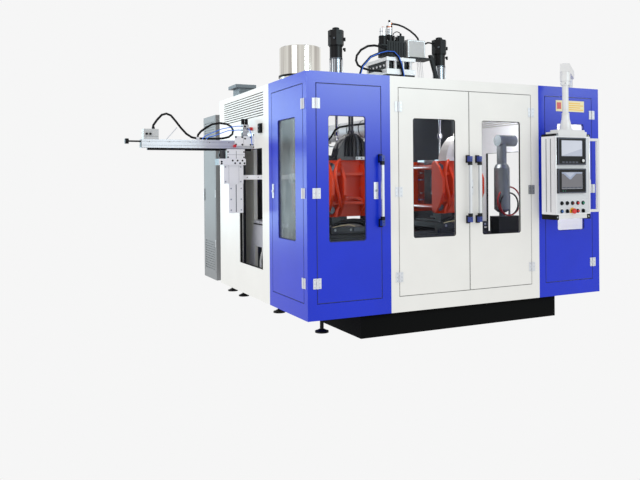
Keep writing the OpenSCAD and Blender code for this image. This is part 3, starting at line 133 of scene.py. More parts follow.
MATERIALS = {
    "blue": material("blue coat", (6, 44, 202), 0.3, grain=0.08, shine=0.35),
    "white": material("white coat", (236, 236, 232), 0.36, grain=0.12, mottle=0.015, shine=0.32),
    "skid": material("black coat", (4, 4, 4), 0.8, grain=0.2, scale=200, shine=0.08),
    # Dark inner coat: painted shade for the dim inside of the machine
    "inner painted shade": material("inner coat with painted shade", (52, 58, 66), 0.45, grain=0.1),
    # The black hood's strong stretched mottle is painted reflection streaks
    "hood black with painted streaks": material("black hood with painted reflection streaks", (46, 46, 52), 0.2, coat=0.6, mottle=0.5, stretch=(2, 2, 0.5)),
    "hood white": material("white hood", (232, 230, 228), 0.3, coat=0.2),
    "column grey": material("grey post coat", (196, 198, 192), grain=0.1),
    "chute": material("lilac grey plastic", (200, 202, 212), 0.45),
    "shroud": material("barrel shroud", (226, 230, 236), 0.35, metal=0.1),
    "frame": material("dark machine coat", (38, 40, 45), 0.45, grain=0.2),
    "ecab": material("cabinet coat", (132, 134, 136), 0.5, grain=0.12),
    "pane": material("clear pane", (60, 66, 74), 0.05, alpha=0.05, mottle=0.02, shine=0.3),
    "side pane": material("milky pane", (112, 118, 118), 0.25,
                          alpha=0.6, mottle=0.45, stretch=(1, 2.5, 1), shine=0.2),
    "steel": material("steel", (176, 180, 184), 0.28, metal=1, grain=0.1, scale=60, stretch=(1, 1, 12)),
    # The hopper's polished steel has strong upright colour streaks: painted reflections
    "mirror steel with painted streaks": material("polished steel with painted reflection streaks", (226, 220, 212), 0.1, metal=1,
                             mottle=0.38, stretch=(3.4, 3.4, 0.1)),
    "hinge silver": material("hinge silver", (214, 216, 220), 0.5, metal=0.2, mottle=0.03, shine=0.2),
    # Cylinder steel is darkened and streaked: painted dark reflection on the chrome of the blow cylinders
    "cylinder steel with painted reflection": material("cylinder steel with painted reflection", (126, 129, 134), 0.2, metal=0.9,
                               mottle=0.25, stretch=(1, 1, 0.2)),
    "gasket grey": material("grey seam", (126, 126, 124), 0.6),
    "zinc": material("zinc plate", (222, 224, 226), 0.3, metal=0.55, mottle=0.03),
    "alu": material("anodised profile", (206, 208, 212), 0.34, metal=0.7, grain=0.06, scale=90),
    "alu white": material("silver grey profile", (214, 216, 219), 0.38, metal=0.15, mottle=0.0),
    "black": material("black plastic", (15, 15, 17), 0.42, grain=0.2, scale=500, shine=0.16),
    "gasket blue": material("dark blue seal", (24, 34, 120), 0.6),
    "rubber": material("black rubber", (15, 15, 16), 0.62, grain=0.3, scale=300, shine=0.2),
    "handle blue": material("blue plastic", (18, 48, 138), 0.3, coat=0.2),
    # The orange castings glow slightly: painted light
    "orange": material("orange casting with painted glow", (232, 66, 16), 0.34, grain=0.4, scale=120,
                       coat=0.1, glow=0.02, shine=0.3),
    "mould": material("mould alloy", (172, 176, 180), 0.25, metal=0.9, grain=0.05),
    "dark steel": material("dark steel", (84, 88, 94), 0.35, metal=0.8, grain=0.1),
    "chrome": material("chrome", (225, 226, 228), 0.07, metal=1, mottle=0.01),
    "plate": material("white plate", (226, 227, 226), 0.35, metal=0.1),
    "box grey": material("box coat", (192, 194, 192), grain=0.15),
    "motor": material("motor coat", (66, 86, 120), 0.45, grain=0.2),
    "gearbox": material("gearbox coat", (58, 68, 86), 0.45, grain=0.2),
    "copper": material("copper", (190, 110, 70), 0.3, metal=0.9),
    "red": material("red plastic", (206, 26, 26), 0.3, coat=0.3),
    "green": material("green plastic", (10, 128, 96), 0.3, coat=0.3),
    "yellow": material("yellow plastic", (240, 190, 30), 0.35, coat=0.2),
    "button blue": material("deep blue plastic", (38, 92, 160), 0.3, coat=0.3),
    # The blue air tubes glow: painted light that makes them brighter
    "air blue with painted glow": material("blue air tube with painted glow", (36, 104, 214), 0.35, glow=0.15),
    "red hose": material("red hose", (168, 26, 30), 0.5),
    "white pipe": material("white pipe", (228, 230, 232)),
    "screen": material("screen", (176, 184, 200), 0.1, coat=0.6, glow=0.12, mottle=0.02),
    "screen dark": material("screen frame", (60, 68, 84), 0.15, coat=0.5),
    "screen light": material("screen field", (196, 202, 214), 0.12, coat=0.5, glow=0.15),
    "vent dark": material("vent coat", (64, 70, 80), grain=0.1),
    "screen mid": material("screen field blue", (150, 162, 186), 0.12, coat=0.5, glow=0.1),
    "bright plate": material("bright plate", (238, 239, 241), 0.36, metal=0.05, mottle=0.02),
    "stop red": material("orange red plastic", (224, 58, 22), 0.3, coat=0.3),
    # This grey serves the middle hinge, and the pendant's flute grooves as painted shade
    "hinge grey and painted groove shade": material("grey hinge and painted groove shade", (132, 134, 138), 0.35, metal=0.5),
    # This inner coat glows strongly: painted light on the inside of the right cabinet
    "inner with strong painted light": material("inner coat with strong painted light", (232, 234, 238), glow=0.55),
    # This white coat glows: painted light on the right side wall's inner face
    "white with painted light": material("inner white coat with painted light", (232, 234, 238), glow=0.25),
    "tank grey": material("tank coat", (112, 118, 122), 0.25, metal=0.4, mottle=0.3, stretch=(3, 3, 1)),
    "screen grey": material("screen grey", (112, 112, 118), 0.14, coat=0.4, mottle=0.05),
    "plate grey": material("front plate", (206, 208, 211), 0.42, metal=0.2, mottle=0.02),
    "red dark": material("dark red lens", (96, 12, 16), 0.25, coat=0.4),
    "motor dark": material("small motor coat", (52, 54, 58), metal=0.3),
    "cream": material("name plate", (240, 228, 176)),
    "light plastic": material("light plastic", (225, 226, 226)),
}


def repaint(node, key, test):
    """Faces of a CAD node whose centre and normal pass the test take a further material."""
    mesh = NODES[node].data
    mesh.materials.append(MATERIALS[key])
    for face in mesh.polygons:
        c = face.center
        if test((c.x * 1000 + MID_X, c.y * 1000 + LINE_Y, c.z * 1000), face.normal):
            face.material_index = len(mesh.materials) - 1


def region(node, key, x=(-FAR, FAR), y=(-FAR, FAR), z=(-FAR, FAR), facing=None):
    """Repaints the faces whose centre lies in the ranges and which face the given way."""
    repaint(node, key, lambda c, n: all(lo < v < hi for v, (lo, hi) in zip(c, (x, y, z)))
            and (facing is None or n.dot(Vector(facing)) > 0.5))


def soften(obj, width, segments=2):
    """A bevel on an object's sharp edges, its width in millimetres."""
    mod = obj.modifiers.new("edges", "BEVEL")
    mod.width = width / 1000
    mod.segments = segments
    mod.limit_method = "ANGLE"
    mod.angle_limit = math.radians(40)


for key, nodes in {
    "skid": "base_skid",
    "black": "levelling_feet display_bezels left_selector right_selector parison_actuator blow_cylinders",
    "blue": "left_cabinet right_cabinet front_door side_door right_door",
    "white": "centre_portal left_side_wall right_side_wall rear_wall left_double_door right_double_door",
    "ecab": "electrical_cabinet",
    "pane": "front_door_window left_double_window right_double_window right_door_window",
    "side pane": "side_door_window",
    "bright plate": "pendant_housing takeout_carriage",
    "screen": "display_screens",
    "light plastic": "pendant_handle pendant_tube pendant_arm",
    "red": "emergency_stop upper_red_button lower_red_button",
    "green": "green_button",
    "button blue": "blue_button",
    "shroud": "extruder_barrel",
    "gearbox": "extruder_gearbox",
    "motor": "extruder_motor",
    # The hopper's steel carries painted reflection streaks
    "mirror steel with painted streaks": "hopper",
    "dark steel": "die_head",
    "plate": "head_plates",
    "box grey": "head_junction_box",
    "chrome": "left_blow_pin right_blow_pin",
    "frame": "machine_frame left_carriage right_carriage",
    # The platens' orange glows slightly: painted light
    "orange": PLATENS,
    "mould": MOULDS,
    "alu": "takeout_beam front_door_handle left_double_handle right_double_handle",
    "rubber": "hoses",
}.items():
    for node in nodes.split():
        slots = NODES[node].data.materials
        slots.clear()
        slots.append(MATERIALS[key])

# Building pieces


class Piece:
    """One visual object, gathered from solids in housing millimetres."""

    def __init__(self, name, key, body="machine"):
        self.name, self.body, self.keys = name.replace(" ", "_"), body, [key]
        self.bm = bmesh.new()

    def _mark(self, faces, key):
        if key not in self.keys:
            self.keys.append(key)
        for f in faces:
            f.material_index = self.keys.index(key)

    def box(self, x, y, z, key):
        """Box between two values of x, of y and of z."""
        lo, hi = point(x[0], y[0], z[0]), point(x[1], y[1], z[1])
        verts = bmesh.ops.create_cube(self.bm, size=1.0)["verts"]
        for v in verts:
            v.co = Vector([lo[i] if v.co[i] < 0 else hi[i] for i in range(3)])
        self._mark({f for v in verts for f in v.link_faces}, key)

    def rod(self, a, b, r, key, r2=None, n=24):
        """Cylinder from a to b, or a cone that ends with radius r2."""
        a, b = point(*a), point(*b)
        verts = bmesh.ops.create_cone(self.bm, cap_ends=True, segments=n, radius1=r / 1000,
                                      radius2=(r if r2 is None else r2) / 1000,
                                      depth=(b - a).length)["verts"]
        turn = (b - a).to_track_quat("Z", "Y").to_matrix().to_4x4()
        bmesh.ops.transform(self.bm, verts=verts, matrix=Matrix.Translation((a + b) / 2) @ turn)
        faces = {f for v in verts for f in v.link_faces}
        self._mark(faces, key)
        for f in faces:
            f.smooth = len(f.verts) == 4

    def upright(self, at, z0, z1, r, key, **more):
        """Rod on the upright axis at (x, y)."""
        self.rod((at[0], at[1], z0), (at[0], at[1], z1), r, key, **more)

    def level(self, at, y0, y1, r, key, **more):
        """Rod along y at (x, z)."""
        self.rod((at[0], y0, at[1]), (at[0], y1, at[1]), r, key, **more)

    def bolt(self, at, way, r, key, h=None):
        """Hexagon head on a washer, standing out along way."""
        w = Vector(way).normalized()
        a = Vector(at)
        h = h or r * 0.7
        self.rod(a, a + w * (h * 0.25), r * 1.35, key, n=20)
        self.rod(a + w * (h * 0.25), a + w * h, r, key, n=6)

    def bolts(self, xs, ys, zs, way, r, key, h):
        """Bolts at every mix of the places, each a number or a row of them."""
        xs, ys, zs = (v if isinstance(v, tuple) else (v,) for v in (xs, ys, zs))
        for at in ((x, y, z) for x in xs for y in ys for z in zs):
            self.bolt(at, way, r, key, h)

    def tube(self, route, r, key, n=10, smooth=4):
        """Round hose along a smooth curve through the points of its route."""
        pts = spline([point(*p) for p in route], smooth)
        rings = []
        side = None
        for i, p in enumerate(pts):
            t = (pts[min(i + 1, len(pts) - 1)] - pts[max(i - 1, 0)]).normalized()
            if side is None:
                side = t.orthogonal().normalized()
            side = (side - t * side.dot(t)).normalized()
            up = t.cross(side)
            rings.append([self.bm.verts.new(p + (side * math.cos(a) + up * math.sin(a)) * r / 1000)
                          for a in (2 * math.pi * k / n for k in range(n))])
        faces = []
        for a, b in zip(rings, rings[1:]):
            for k in range(n):
                faces.append(self.bm.faces.new((a[k], a[(k + 1) % n], b[(k + 1) % n], b[k])))
        for f in faces:
            f.smooth = True
        faces.append(self.bm.faces.new(list(reversed(rings[0]))))
        faces.append(self.bm.faces.new(rings[-1]))
        self._mark(faces, key)

    def slab(self, outline, y0, y1, key, hole=None):
        """Plate in the x-z plane from y0 to y1, with an optional matching hole."""
        if hole is None:
            front = [self.bm.verts.new(point(x, y0, z)) for x, z in outline]
            back = [self.bm.verts.new(point(x, y1, z)) for x, z in outline]
            faces = [self.bm.faces.new(front), self.bm.faces.new(list(reversed(back)))]
            for i in range(len(outline)):
                j = (i + 1) % len(outline)
                faces.append(self.bm.faces.new((front[j], front[i], back[i], back[j])))
        else:
            loops = [[self.bm.verts.new(point(x, y, z)) for x, z in line]
                     for line in (outline, hole) for y in (y0, y1)]
            of, ob, hf, hb = loops
            faces = []
            for i in range(len(outline)):
                j = (i + 1) % len(outline)
                for a, b in ((of, hf), (hb, ob), (ob, of), (hf, hb)):
                    faces.append(self.bm.faces.new((a[i], a[j], b[j], b[i])))
        self._mark(faces, key)

    def ring(self, at, inner, outer, y0, y1, key, n):
        """Flat ring about (x, z), from y0 to y1."""
        outline, hole = ([(at[0] + r * math.cos(a), at[1] + r * math.sin(a))
                          for a in (2 * math.pi * i / n for i in range(n))] for r in (outer, inner))
        self.slab(outline, y0, y1, key, hole)

    def done(self, width=1.0, segments=2):
        """Makes the object, with bevels of the width given, and lets it ride its body."""
        bmesh.ops.recalc_face_normals(self.bm, faces=self.bm.faces[:])
        mesh = bpy.data.meshes.new(self.name)
        self.bm.to_mesh(mesh)
        self.bm.free()
        for key in self.keys:
            mesh.materials.append(MATERIALS[key])
        obj = bpy.data.objects.new(self.name, mesh)
        bpy.context.scene.collection.objects.link(obj)
        if width:
            soften(obj, width, segments)
        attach(obj, self.body)
        return obj


def spline(pts, steps):
    """Points along a smooth curve through pts."""
    if steps < 2 or len(pts) < 3:
        return pts
    ends = [pts[0] * 2 - pts[1]] + pts + [pts[-1] * 2 - pts[-2]]
    out = []
    for a, b, c, d in zip(ends, ends[1:], ends[2:], ends[3:]):
        for s in range(steps):
            t = s / steps
            out.append(0.5 * ((2 * b) + (c - a) * t + (2 * a - 5 * b + 4 * c - d) * t * t
                              + (3 * b - a - 3 * c + d) * t ** 3))
    return out + [pts[-1]]


def rounded(x0, x1, z0, z1, r, n=6):
    """Corner-rounded rectangle as (x, z) points, anticlockwise."""
    out = []
    corners = (x1 - r, z0 + r, -90), (x1 - r, z1 - r, 0), (x0 + r, z1 - r, 90), (x0 + r, z0 + r, 180)
    for cx, cz, a0 in corners:
        for i in range(n + 1):
            a = math.radians(a0 + 90 * i / n)
            out.append((cx + r * math.cos(a), cz + r * math.sin(a)))
    return out


# Doors: silver hinges, window gaskets, handles, seams and locks

def near_hinge(c, place, across=0):
    """Whether a face belongs to a hinge, whose width runs along the axis given."""
    return (min(abs(c[2] - z) for z in HINGES) < HINGE_HALF_HEIGHT
            and abs(c[across] - place) < HINGE_HALF_WIDTH and c[1 - across] < -0.5)


for place, across, nodes in (
        (90, 0, "left_cabinet front_door"), (916, 0, "centre_portal left_double_door"),
        (2476, 0, "centre_portal right_double_door"), (3308, 0, "right_cabinet right_door"),
        (75, 1, "left_cabinet side_door")):
    for node in nodes.split():
        repaint(node, "hinge silver", lambda c, n: near_hinge(c, place, across))
region("side_door", "zinc", x=(-FAR, -0.5), y=(700, FAR))
region("right_door", "zinc", x=(-FAR, 2760), y=(-FAR, -0.5))
for node in ("centre_portal", "right_double_door"):
    repaint(node, "hinge grey and painted groove shade", lambda c, n: near_hinge(c, 2476)
            and abs(c[2] - HINGES[1]) < HINGE_HALF_HEIGHT)

for name, body, x, sides in (
        ("front hinge", "machine", 90, (-1,)),
        ("front door", "front_door", 90, (1,)),
        ("left portal", "machine", 916, (-1,)),
        ("left double", "left_double_door", 916, (1,)),
        ("right portal", "machine", 2476, (1,)),
        ("right double", "right_double_door", 2476, (-1,)),
        ("right hinge", "machine", 3308, (-1, 1))):
    p = Piece(name + " screws", "steel", body)
    for z in HINGES:
        for s in sides:
            for dz in (-32, 0, 32):
                p.level((x + s * 24, z + dz), -5, -7.2, 4.2, "steel", r2=3.4, n=14)
    p.done(0.3, 1)


def gasket(name, body, x, w, key, side=False):
    """Seal around a window; on a side door x and y are swapped."""
    z0, z1 = DOOR_Z + 523, DOOR_TOP - 274
    p = Piece(name + " gasket", key, body)
    outer = rounded(x, x + w, z0, z1, 24)
    inner = rounded(x + 5, x + w - 5, z0 + 5, z1 - 5, 19)
    p.slab(outer, 3, 15.5, key, inner)
    if side:
        for v in p.bm.verts:
            h = v.co * 1000 + Vector((MID_X, LINE_Y, 0))
            v.co = point(h.y, h.x, h.z)
    p.done(1.5)


gasket("front door", "front_door", 92 + 115, 370, "gasket blue")
gasket("side door", "side_door", 77 + 170, 416, "gasket blue", True)
gasket("left double", "left_double_door", 918 + 155, 476, "rubber")
gasket("right double", "right_double_door", 2474 - 137 - 476, 476, "rubber")
gasket("right door", "machine", 3306 - 111 - 370, 370, "gasket blue")


def handle(body, x, node):
    """Grab handle with blue feet in black sockets, in place of the CAD node."""
    z0, z1 = HANDLE_Z, HANDLE_Z + HANDLE_LENGTH
    p = Piece(node, "alu", body)
    p.box(span(x, 12), (-64, -42), (z0 + 70, z1 - 70), "alu")
    p.box(span(x, 9), (-66, -64), (z0 + 74, z1 - 74), "alu white")
    for zc, s in ((z0, 1), (z1, -1)):
        for half, y, z, key in ((15, (-30, -0.2), (0.5, 74), "black"),
                                (15.5, (-69.5, -28), (12, 62), "handle blue"),
                                (14.5, (-68.5, -34), (62, 96), "black")):
            p.box(span(x, half), y, sorted(zc + s * v for v in z), key)
        p.level((x, zc + s * 46), -69.6, -66, 6, "black", n=16)
    obj = p.done(3.0, 3)
    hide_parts(node)


handle("front_door", 716, "front_door_handle")
handle("left_double_door", 1680, "left_double_handle")
handle("right_double_door", 1792, "right_double_handle")


def seam(name, node, body=None, side=False, w=5, key="gasket blue"):
    """Dark line along the edge of a door, which is a body of its own unless one is given."""
    door = NODES[node]
    pts = [door.matrix_world @ v.co * 1000 + Vector((MID_X, LINE_Y, 0)) for v in door.data.vertices]
    pts = [q for q in pts if (q.x if side else q.y) > 10]
    u = [q.y if side else q.x for q in pts]
    z = [q.z for q in pts]
    u0, u1, z0, z1 = min(u), max(u), min(z), max(z)
    p = Piece(name + " seam", key, body or node)
    for a, b in (((u0, u1), (z1 - w, z1)), ((u0, u1), (z0, z0 + w)),
                 ((u0, u0 + w), (z0 + w, z1 - w)), ((u1 - w, u1), (z0 + w, z1 - w))):
        x, y = (span(0, 0.5), a) if side else (a, span(0, 0.5))
        p.box(x, y, b, key)
    p.done(0)


def lock(name, body, x0, x1, z0, z1):
    """Lock plate with a keyhole barrel and two screws."""
    x, z = (x0 + x1) / 2, (z0 + z1) / 2
    p = Piece(name, "zinc", body)
    p.box((x0, x1), (-8, -0.2), (z0, z1), "zinc")
    p.level((x, z), -8, -12, (x1 - x0) * 0.28, "steel", n=20)
    p.box(span(x, 2), (-13, -11), span(z, 7), "black")
    for screw in (z0 + 14, z1 - 14):
        p.level((x, screw), -8, -10, 4, "steel", n=14)
    p.done(1.5)


seam("front door", "front_door")
seam("side door", "side_door", side=True)
seam("right door", "right_door", "machine")
for half in ("left", "right"):
    seam(half + " double", half + "_double_door", w=3, key="gasket grey")
lock("front door lock", "front_door", 653, 697, 1256, 1408)
lock("right double lock", "right_double_door", 1724, 1746, 1272, 1422)

# Node colours by place, and softened edges

region("right_cabinet", "light plastic", x=span(3153, 85), z=(ROOF + 1, FAR))
# The rear wall's inner face takes the dark inner coat: painted shade for the inside seen through the windows
region("rear_wall", "inner painted shade", facing=FRONT)
region("right_cabinet", "white", y=span(40, 0.6), facing=BACK)
# The right cabinet's inner right wall glows: painted light
region("right_cabinet", "inner with strong painted light", x=span(3365, 1), facing=LEFT)
# The right side wall's inner face glows: painted light
region("right_side_wall", "white with painted light", x=(3300, FAR), facing=LEFT)
region("hoses", "white pipe", x=(205, 260), y=(-FAR, 1810), z=(-FAR, 703))
# These hose runs take the glowing air blue: painted light
region("hoses", "air blue with painted glow", x=(-540, -113), y=span(1362, 4.6))
region("hoses", "air blue with painted glow", x=(-66, -10), y=(-FAR, 1346), z=(1790, 1966))
region("hoses", "air blue with painted glow", x=(1100, FAR), y=span(1216.7, 5.4))
region("parison_actuator", "zinc", x=span(ACTUATOR[0], 40), y=span(ACTUATOR[1], 32), z=(3070.5, FAR))
region("parison_actuator", "zinc", x=(-FAR, 1606), z=(3053.5, FAR))
region("head_plates", "black", z=(2739, 2762), facing=UP)
# The beam's underside is painted black: a painted shadow band under the beam
region("takeout_beam", "black", x=(-FAR, -20), z=(-FAR, 1757.5))
region("takeout_beam", "bright plate", x=(-199, FAR), y=(-FAR, 1353.5), z=(1780, 1890))
region("takeout_beam", "box grey", x=(-FAR, -960), z=(1839.5, 1945))
repaint("takeout_beam", "red", lambda c, n: (abs(c[0] + 202) < 16 and c[1] < 1352 and abs(c[2] - 1783) < 16)
        or (c[0] > -33 and abs(c[1] - 1372) < 20 and abs(c[2] - 1964) < 20))
repaint("takeout_beam", "black", lambda c, n: -140 < c[0] < -40
        and (c[1] > 1353.2 and 1841 < c[2] < 1923.5 or c[2] > 2005))
region("takeout_beam", "black", x=(-FAR, -1140))
region("takeout_carriage", "motor dark", x=span(-325, 34), z=(1653.5, FAR))
region("takeout_carriage", "dark steel", x=(-FAR, -330), z=(1590.5, 1652.5))
for side, key, x, y, z in (
        ("left", "column grey", (199, 241), (1894, 2181), (261, 2329)),
        # The upright inside the left opening takes the dark inner coat: painted shade
        ("left", "inner painted shade", (299, 341), (1879, 2091), (991, 2329)),
        ("left", "alu", (41, 341), (999, 1921), (954, 991)),
        ("left", "chute", (199, 209), (-FAR, 2101), (-FAR, 954)),
        ("left", "black", (-FAR, -0.5), (-FAR, 1151), (1900, 2005)),
        ("left", "vent dark", (85, 340), (2165, 2460), (ROOF + 0.5, FAR)),
        ("right", "column grey", (3160, 3210), (1894, 2181), (261, 2329)),
        ("right", "black", (2820, 3195), (919, 1081), (261, 991)),
        ("right", "tank grey", (2790, 3135), (900, 1100), (992, FAR))):
    region(side + "_side_wall", key, x, y, z)
for key, y, x, z, r in (("rubber", 939.5, 2990, 1129.7, 130), ("red hose", 959, 3005, 1164.7, 165)):
    repaint("right_side_wall", key, lambda c, n: c[1] < y and c[2] > 990.5
            and abs(math.hypot(c[0] - x, c[2] - z) - r) < 12)
# The blow cylinders between these heights take the darkened steel: painted dark reflection
region("blow_cylinders", "cylinder steel with painted reflection", z=(2321, 2766.5))
region("die_head", "steel", z=(-FAR, 1795))
repaint("hopper", "black", lambda c, n: 2940 < c[2] < 2974.9 or c[2] < 2240)
# The left station's black hood carries painted reflection streaks in its colour
for (side, x), hood in zip(STATIONS, ("hood black with painted streaks", "hood white")):
    front, rear = side + "_front_platen", side + "_rear_platen"
    region(front, hood, y=(-FAR, 1202), z=(1635.5, FAR))
    repaint(front, "chrome", lambda c, n: abs(abs(c[0] - x) - TIE_BAR_X) < 28.5
            and 1500 < c[1] < 2160 and min(abs(c[2] - z) for z in TIE_BAR_Z) < 28.5)
    region(rear, "steel", span(x, 31), (1762, FAR), span(PLATEN_Z, 31))
    for node in (front, rear):
        region(node, "frame", z=(940, 1039.5))
repaint("pendant_housing", "light plastic", lambda c, n: 2569.3 < c[0] < 2948.7
        and not 1070.8 <= c[2] <= 1841.2)
region("pendant_housing", "plate grey", y=span(PENDANT_FACE, 0.6), facing=FRONT)
region("pendant_housing", "black", y=(-FAR, -274), z=(1080, 1210))
repaint("head_junction_box", "black", lambda c, n: c[2] < 2822.9 or c[0] > 2113)
region("extruder_barrel", "dark steel", y=span(HOPPER[1], 151))

for width, nodes in {
    1.5: "left_cabinet right_cabinet centre_portal pendant_tube takeout_beam",
    1.2: "front_door side_door left_double_door right_double_door right_door",
    3: "base_skid electrical_cabinet display_bezels head_plates blow_cylinders left_carriage "
       "right_carriage machine_frame extruder_motor",
    5: "pendant_arm " + PLATENS,
    6: "pendant_handle",
    2: "hopper takeout_carriage die_head " + MOULDS,
    2.5: "parison_actuator head_junction_box",
    4: "extruder_gearbox",
}.items():
    for node in nodes.split():
        soften(NODES[node], width)

# Pendant

p = Piece("pendant trim", "alu white", "pendant")
for x in (2533, 2985):
    p.upright((x, -272), 1073, 1839, 4.5, "alu", n=16)
for x in (2541, 2977):
    p.upright((x, -276.6), 1073, 1839, 3, "zinc", n=12)
for z in (1850, 1045):
    p.bolts((2553, 2965), -276.5, z, FRONT, 6, "steel", 4)
for x in (2575, 2943):
    for z in (1098, 1225, 1540, 1815):
        p.level((x, z), -273.6, -275.4, 4, "steel", n=14)
for z in ((1253, 1257), (1828, 1831)):
    p.box((2549, 2969), (-274.6, -273.4), z, "alu")
p.done(0.6, 1)

p = Piece("pendant bezel details", "black", "pendant")
for z0, h in ((1558, 268), (1280, 242)):
    outer = rounded(2549.6, 2916.4, z0 + 0.6, z0 + h - 0.6, 9)
    inner = rounded(2561, 2905, z0 + 11, z0 + h - 11, 7)
    p.slab(outer, -294.6, -292.5, "screen dark", inner)
p.level((2873, 1600), -298.5, -303, 15, "zinc")
p.box((2869.5, 2876.5), (-309, -303), (1589, 1611), "light plastic")
for i in range(5):
    p.box((2602 + 44 * i, 2634 + 44 * i), (-294.2, -292.6), (1577, 1592), "screen dark")
for i in range(2):
    p.level((2612 + 30 * i, 1303), -292.6, -294.6, 5, "green", n=16)
p.done()

p = Piece("pendant screen fields", "screen light", "pendant")
p.box((2599, 2867), (-290.2, -289.4), (1647, 1797), "screen light")
p.slab([(2599, 1647), (2867, 1647), (2867, 1720)], -290.6, -290.2, "screen")
p.box((2599, 2863), (-290.2, -289.4), (1472, 1485), "screen mid")
p.box((2597, 2869), (-290, -289.3), (1325, 1485), "screen grey")
p.slab([(2606, 1482), (2700, 1416), (2716, 1416), (2800, 1482)], -290.6, -290, "screen mid")
p.slab([(2640, 1482), (2706, 1434), (2770, 1482)], -291, -290.6, "screen")
for i in range(5):
    p.box((2606 + 52 * i, 2648 + 52 * i), (-290.5, -290), (1331, 1341), "screen dark")
p.done(0)


def control(column, row):
    """Place (x, z) of a control, in five columns and two rows."""
    return 2611 + 70 * column, (1103, 1182)[row]


SMALL_CONTROLS = [control(column, row) for row in (0, 1) for column in range(5) if (column, row) != (2, 0)]
STOP = control(2, 0)

p = Piece("pendant control rings", "zinc", "pendant")
for at in SMALL_CONTROLS:
    p.ring(at, 17.2, 21, PENDANT_FACE - 2.5, PENDANT_FACE, "dark steel", 32)
p.ring(STOP, 17.2, 35, PENDANT_FACE - 1.6, PENDANT_FACE, "yellow", 32)
for column, key in enumerate(("black", "black", "red dark")):
    p.level(control(column, 1), -287.6, -290.5, 12, key, r2=9)
for x, z in SMALL_CONTROLS:
    p.box(span(x, 15), (-274.3, -273.4), (z + 25, z + 33), "zinc")
p.done(0.5, 1)

p = Piece("stop button cap", "stop red", "emergency_stop")
for r, y0, y1, r2 in ((26.5, -294, -299, 27.5), (27.5, -299, -306, 26),
                      (26, -306, -310, 20), (20, -310, -311.4, 10)):
    p.level(STOP, y0, y1, r, "stop red", r2=r2, n=32)
p.done(0)

for body, column, row, key in (("green_button", 4, 1, "green"), ("upper_red_button", 3, 1, "red"),
                               ("lower_red_button", 3, 0, "red"), ("blue_button", 0, 0, "button blue")):
    p = Piece(body + " rim", key, body)
    p.level(control(column, row), -288.4, -289.6, 10.8, key, r2=9.6, n=28)
    p.done(0)
for body, column in (("left_selector", 1), ("right_selector", 4)):
    x, z = control(column, 0)
    p = Piece(body + " mark", "plate", body)
    p.box(span(x, 1.2), (-298.1, -297.3), (z + 4, z + 14), "plate")
    p.done(0)

p = Piece("pendant tube fittings", "light plastic", "pendant")
p.upright(PENDANT_TUBE, 1930, 1944, 57, "light plastic", n=40)
p.upright(PENDANT_TUBE, 1944, 2010, 56, "light plastic", r2=42, n=40)
for a in (20, 110, 200, 290):
    p.bolt(around(PENDANT_TUBE, 1907, 68, a), UP, 5, "steel", 4)
for z in (2110, 2384):
    p.upright(PENDANT_TUBE, z, z + 4, 31, "alu white", n=32)
p.upright(PENDANT_TUBE, 2068, 2078, 38, "light plastic", n=40)
for a in (45, 135, 225, 315):
    p.bolt(around(PENDANT_TUBE, 2374, 41.5, a), around((0, 0), 0, 1, a), 5, "steel", 4)
p.done()

p = Piece("arm fittings", "light plastic", "pendant_arm")
p.upright(PENDANT_TUBE, 2569, 2573, 38, "alu white", n=40)
p.upright((3153, 150), 2569, 2574, 40, "alu white", n=40)
p.done()

# Pendant side flutes: flush bright bands between recessed bands whose grey is painted shade in the grooves
for x0, x1 in ((2529.9, 2534.2), (2983.8, 2988.1)):
    p = Piece("pendant side bands %d" % x0, "light plastic", "pendant")
    for i in range(5):
        y = -248.5 + 30 * i
        if i % 2:
            p.box((x0 + 1.2, x1), (y + 3, y + 11), (1095.2, 1816.8), "hinge grey and painted groove shade")
        else:
            p.box((x0 - 0.8, x1), (y + 0.2, y + 13.8), (1095.2, 1816.8), "bright plate")
    p.done(0)
p = Piece("pendant corner caps", "black", "pendant")
for x0, x1 in ((2528.4, 2569.4), (2948.6, 2989.6)):
    for z in ((1841, 1864.6), (1020.6, 1071)):
        p.box((x0, x1), (-277.1, -88.9), z, "black")
p.done(1.5)

# Take-out: bolts, seams, fittings and the carriage's hole pattern

BEAM_PLATE_Y, END_BOX_Y, VALVE_Y = 1343, 1349, 1382
CARRIAGE_Y, ARM_Y, LOWER_ARM_Y = 1334, 1344, 1354
DRIVE = (-325, 1364)

p = Piece("take-out beam details", "black")
for x, z in ((-188, 1798), (-188, 1875), (-120, 1798), (-120, 1875),
             (-90, 1860), (-30, 1798), (-30, 1875)):
    p.bolt((x, BEAM_PLATE_Y, z), FRONT, 7, "black", 7)
p.box((-106, -104), (BEAM_PLATE_Y - 0.8, BEAM_PLATE_Y + 0.2), (1789, 1884), "dark steel")
p.bolts(-12, (1300, 1488), (1772, 1896), LEFT, 7, "black", 6)
p.box((-1137, -1133), (1357, 1431), (1760, 1836), "black")
for z in (1772, 1824):
    p.bolts(-1137, (1368, 1420), z, LEFT, 5, "steel", 4)
for x in (-1060, -860, -660, -460, -260):
    p.box(span(x, 12), (1350.2, 1353), (1813, 1821), "zinc")
    p.bolt((x, 1350.2, 1817), FRONT, 3.5, "black", 3)
for x in (-1095, -987):
    for z in (1925, 1855):
        p.level((x, z), END_BOX_Y, END_BOX_Y - 3, 5, "steel", n=14)
p.box((-1110, -972), (END_BOX_Y - 0.8, END_BOX_Y), (1866, 1868), "dark steel")
for x in (-1085, -1050):
    p.level((x, 1890), END_BOX_Y, END_BOX_Y - 18, 11, "black", n=20)
p.upright((-1014, 1385), 1939, 1957, 16, "black", n=6)
p.upright((-1014, 1385), 1957, 1964, 14, "black", n=20)
p.upright((-566, 1418), 1839, 1852, 15, "black", n=6)
p.box((-590, -560), (1366, 1404), (1839, 1869), "light plastic")
for x in (-490, -530):
    p.upright((x, 1362), 1839, 1846, 6.5, "zinc", n=16)
p.done(0.8)

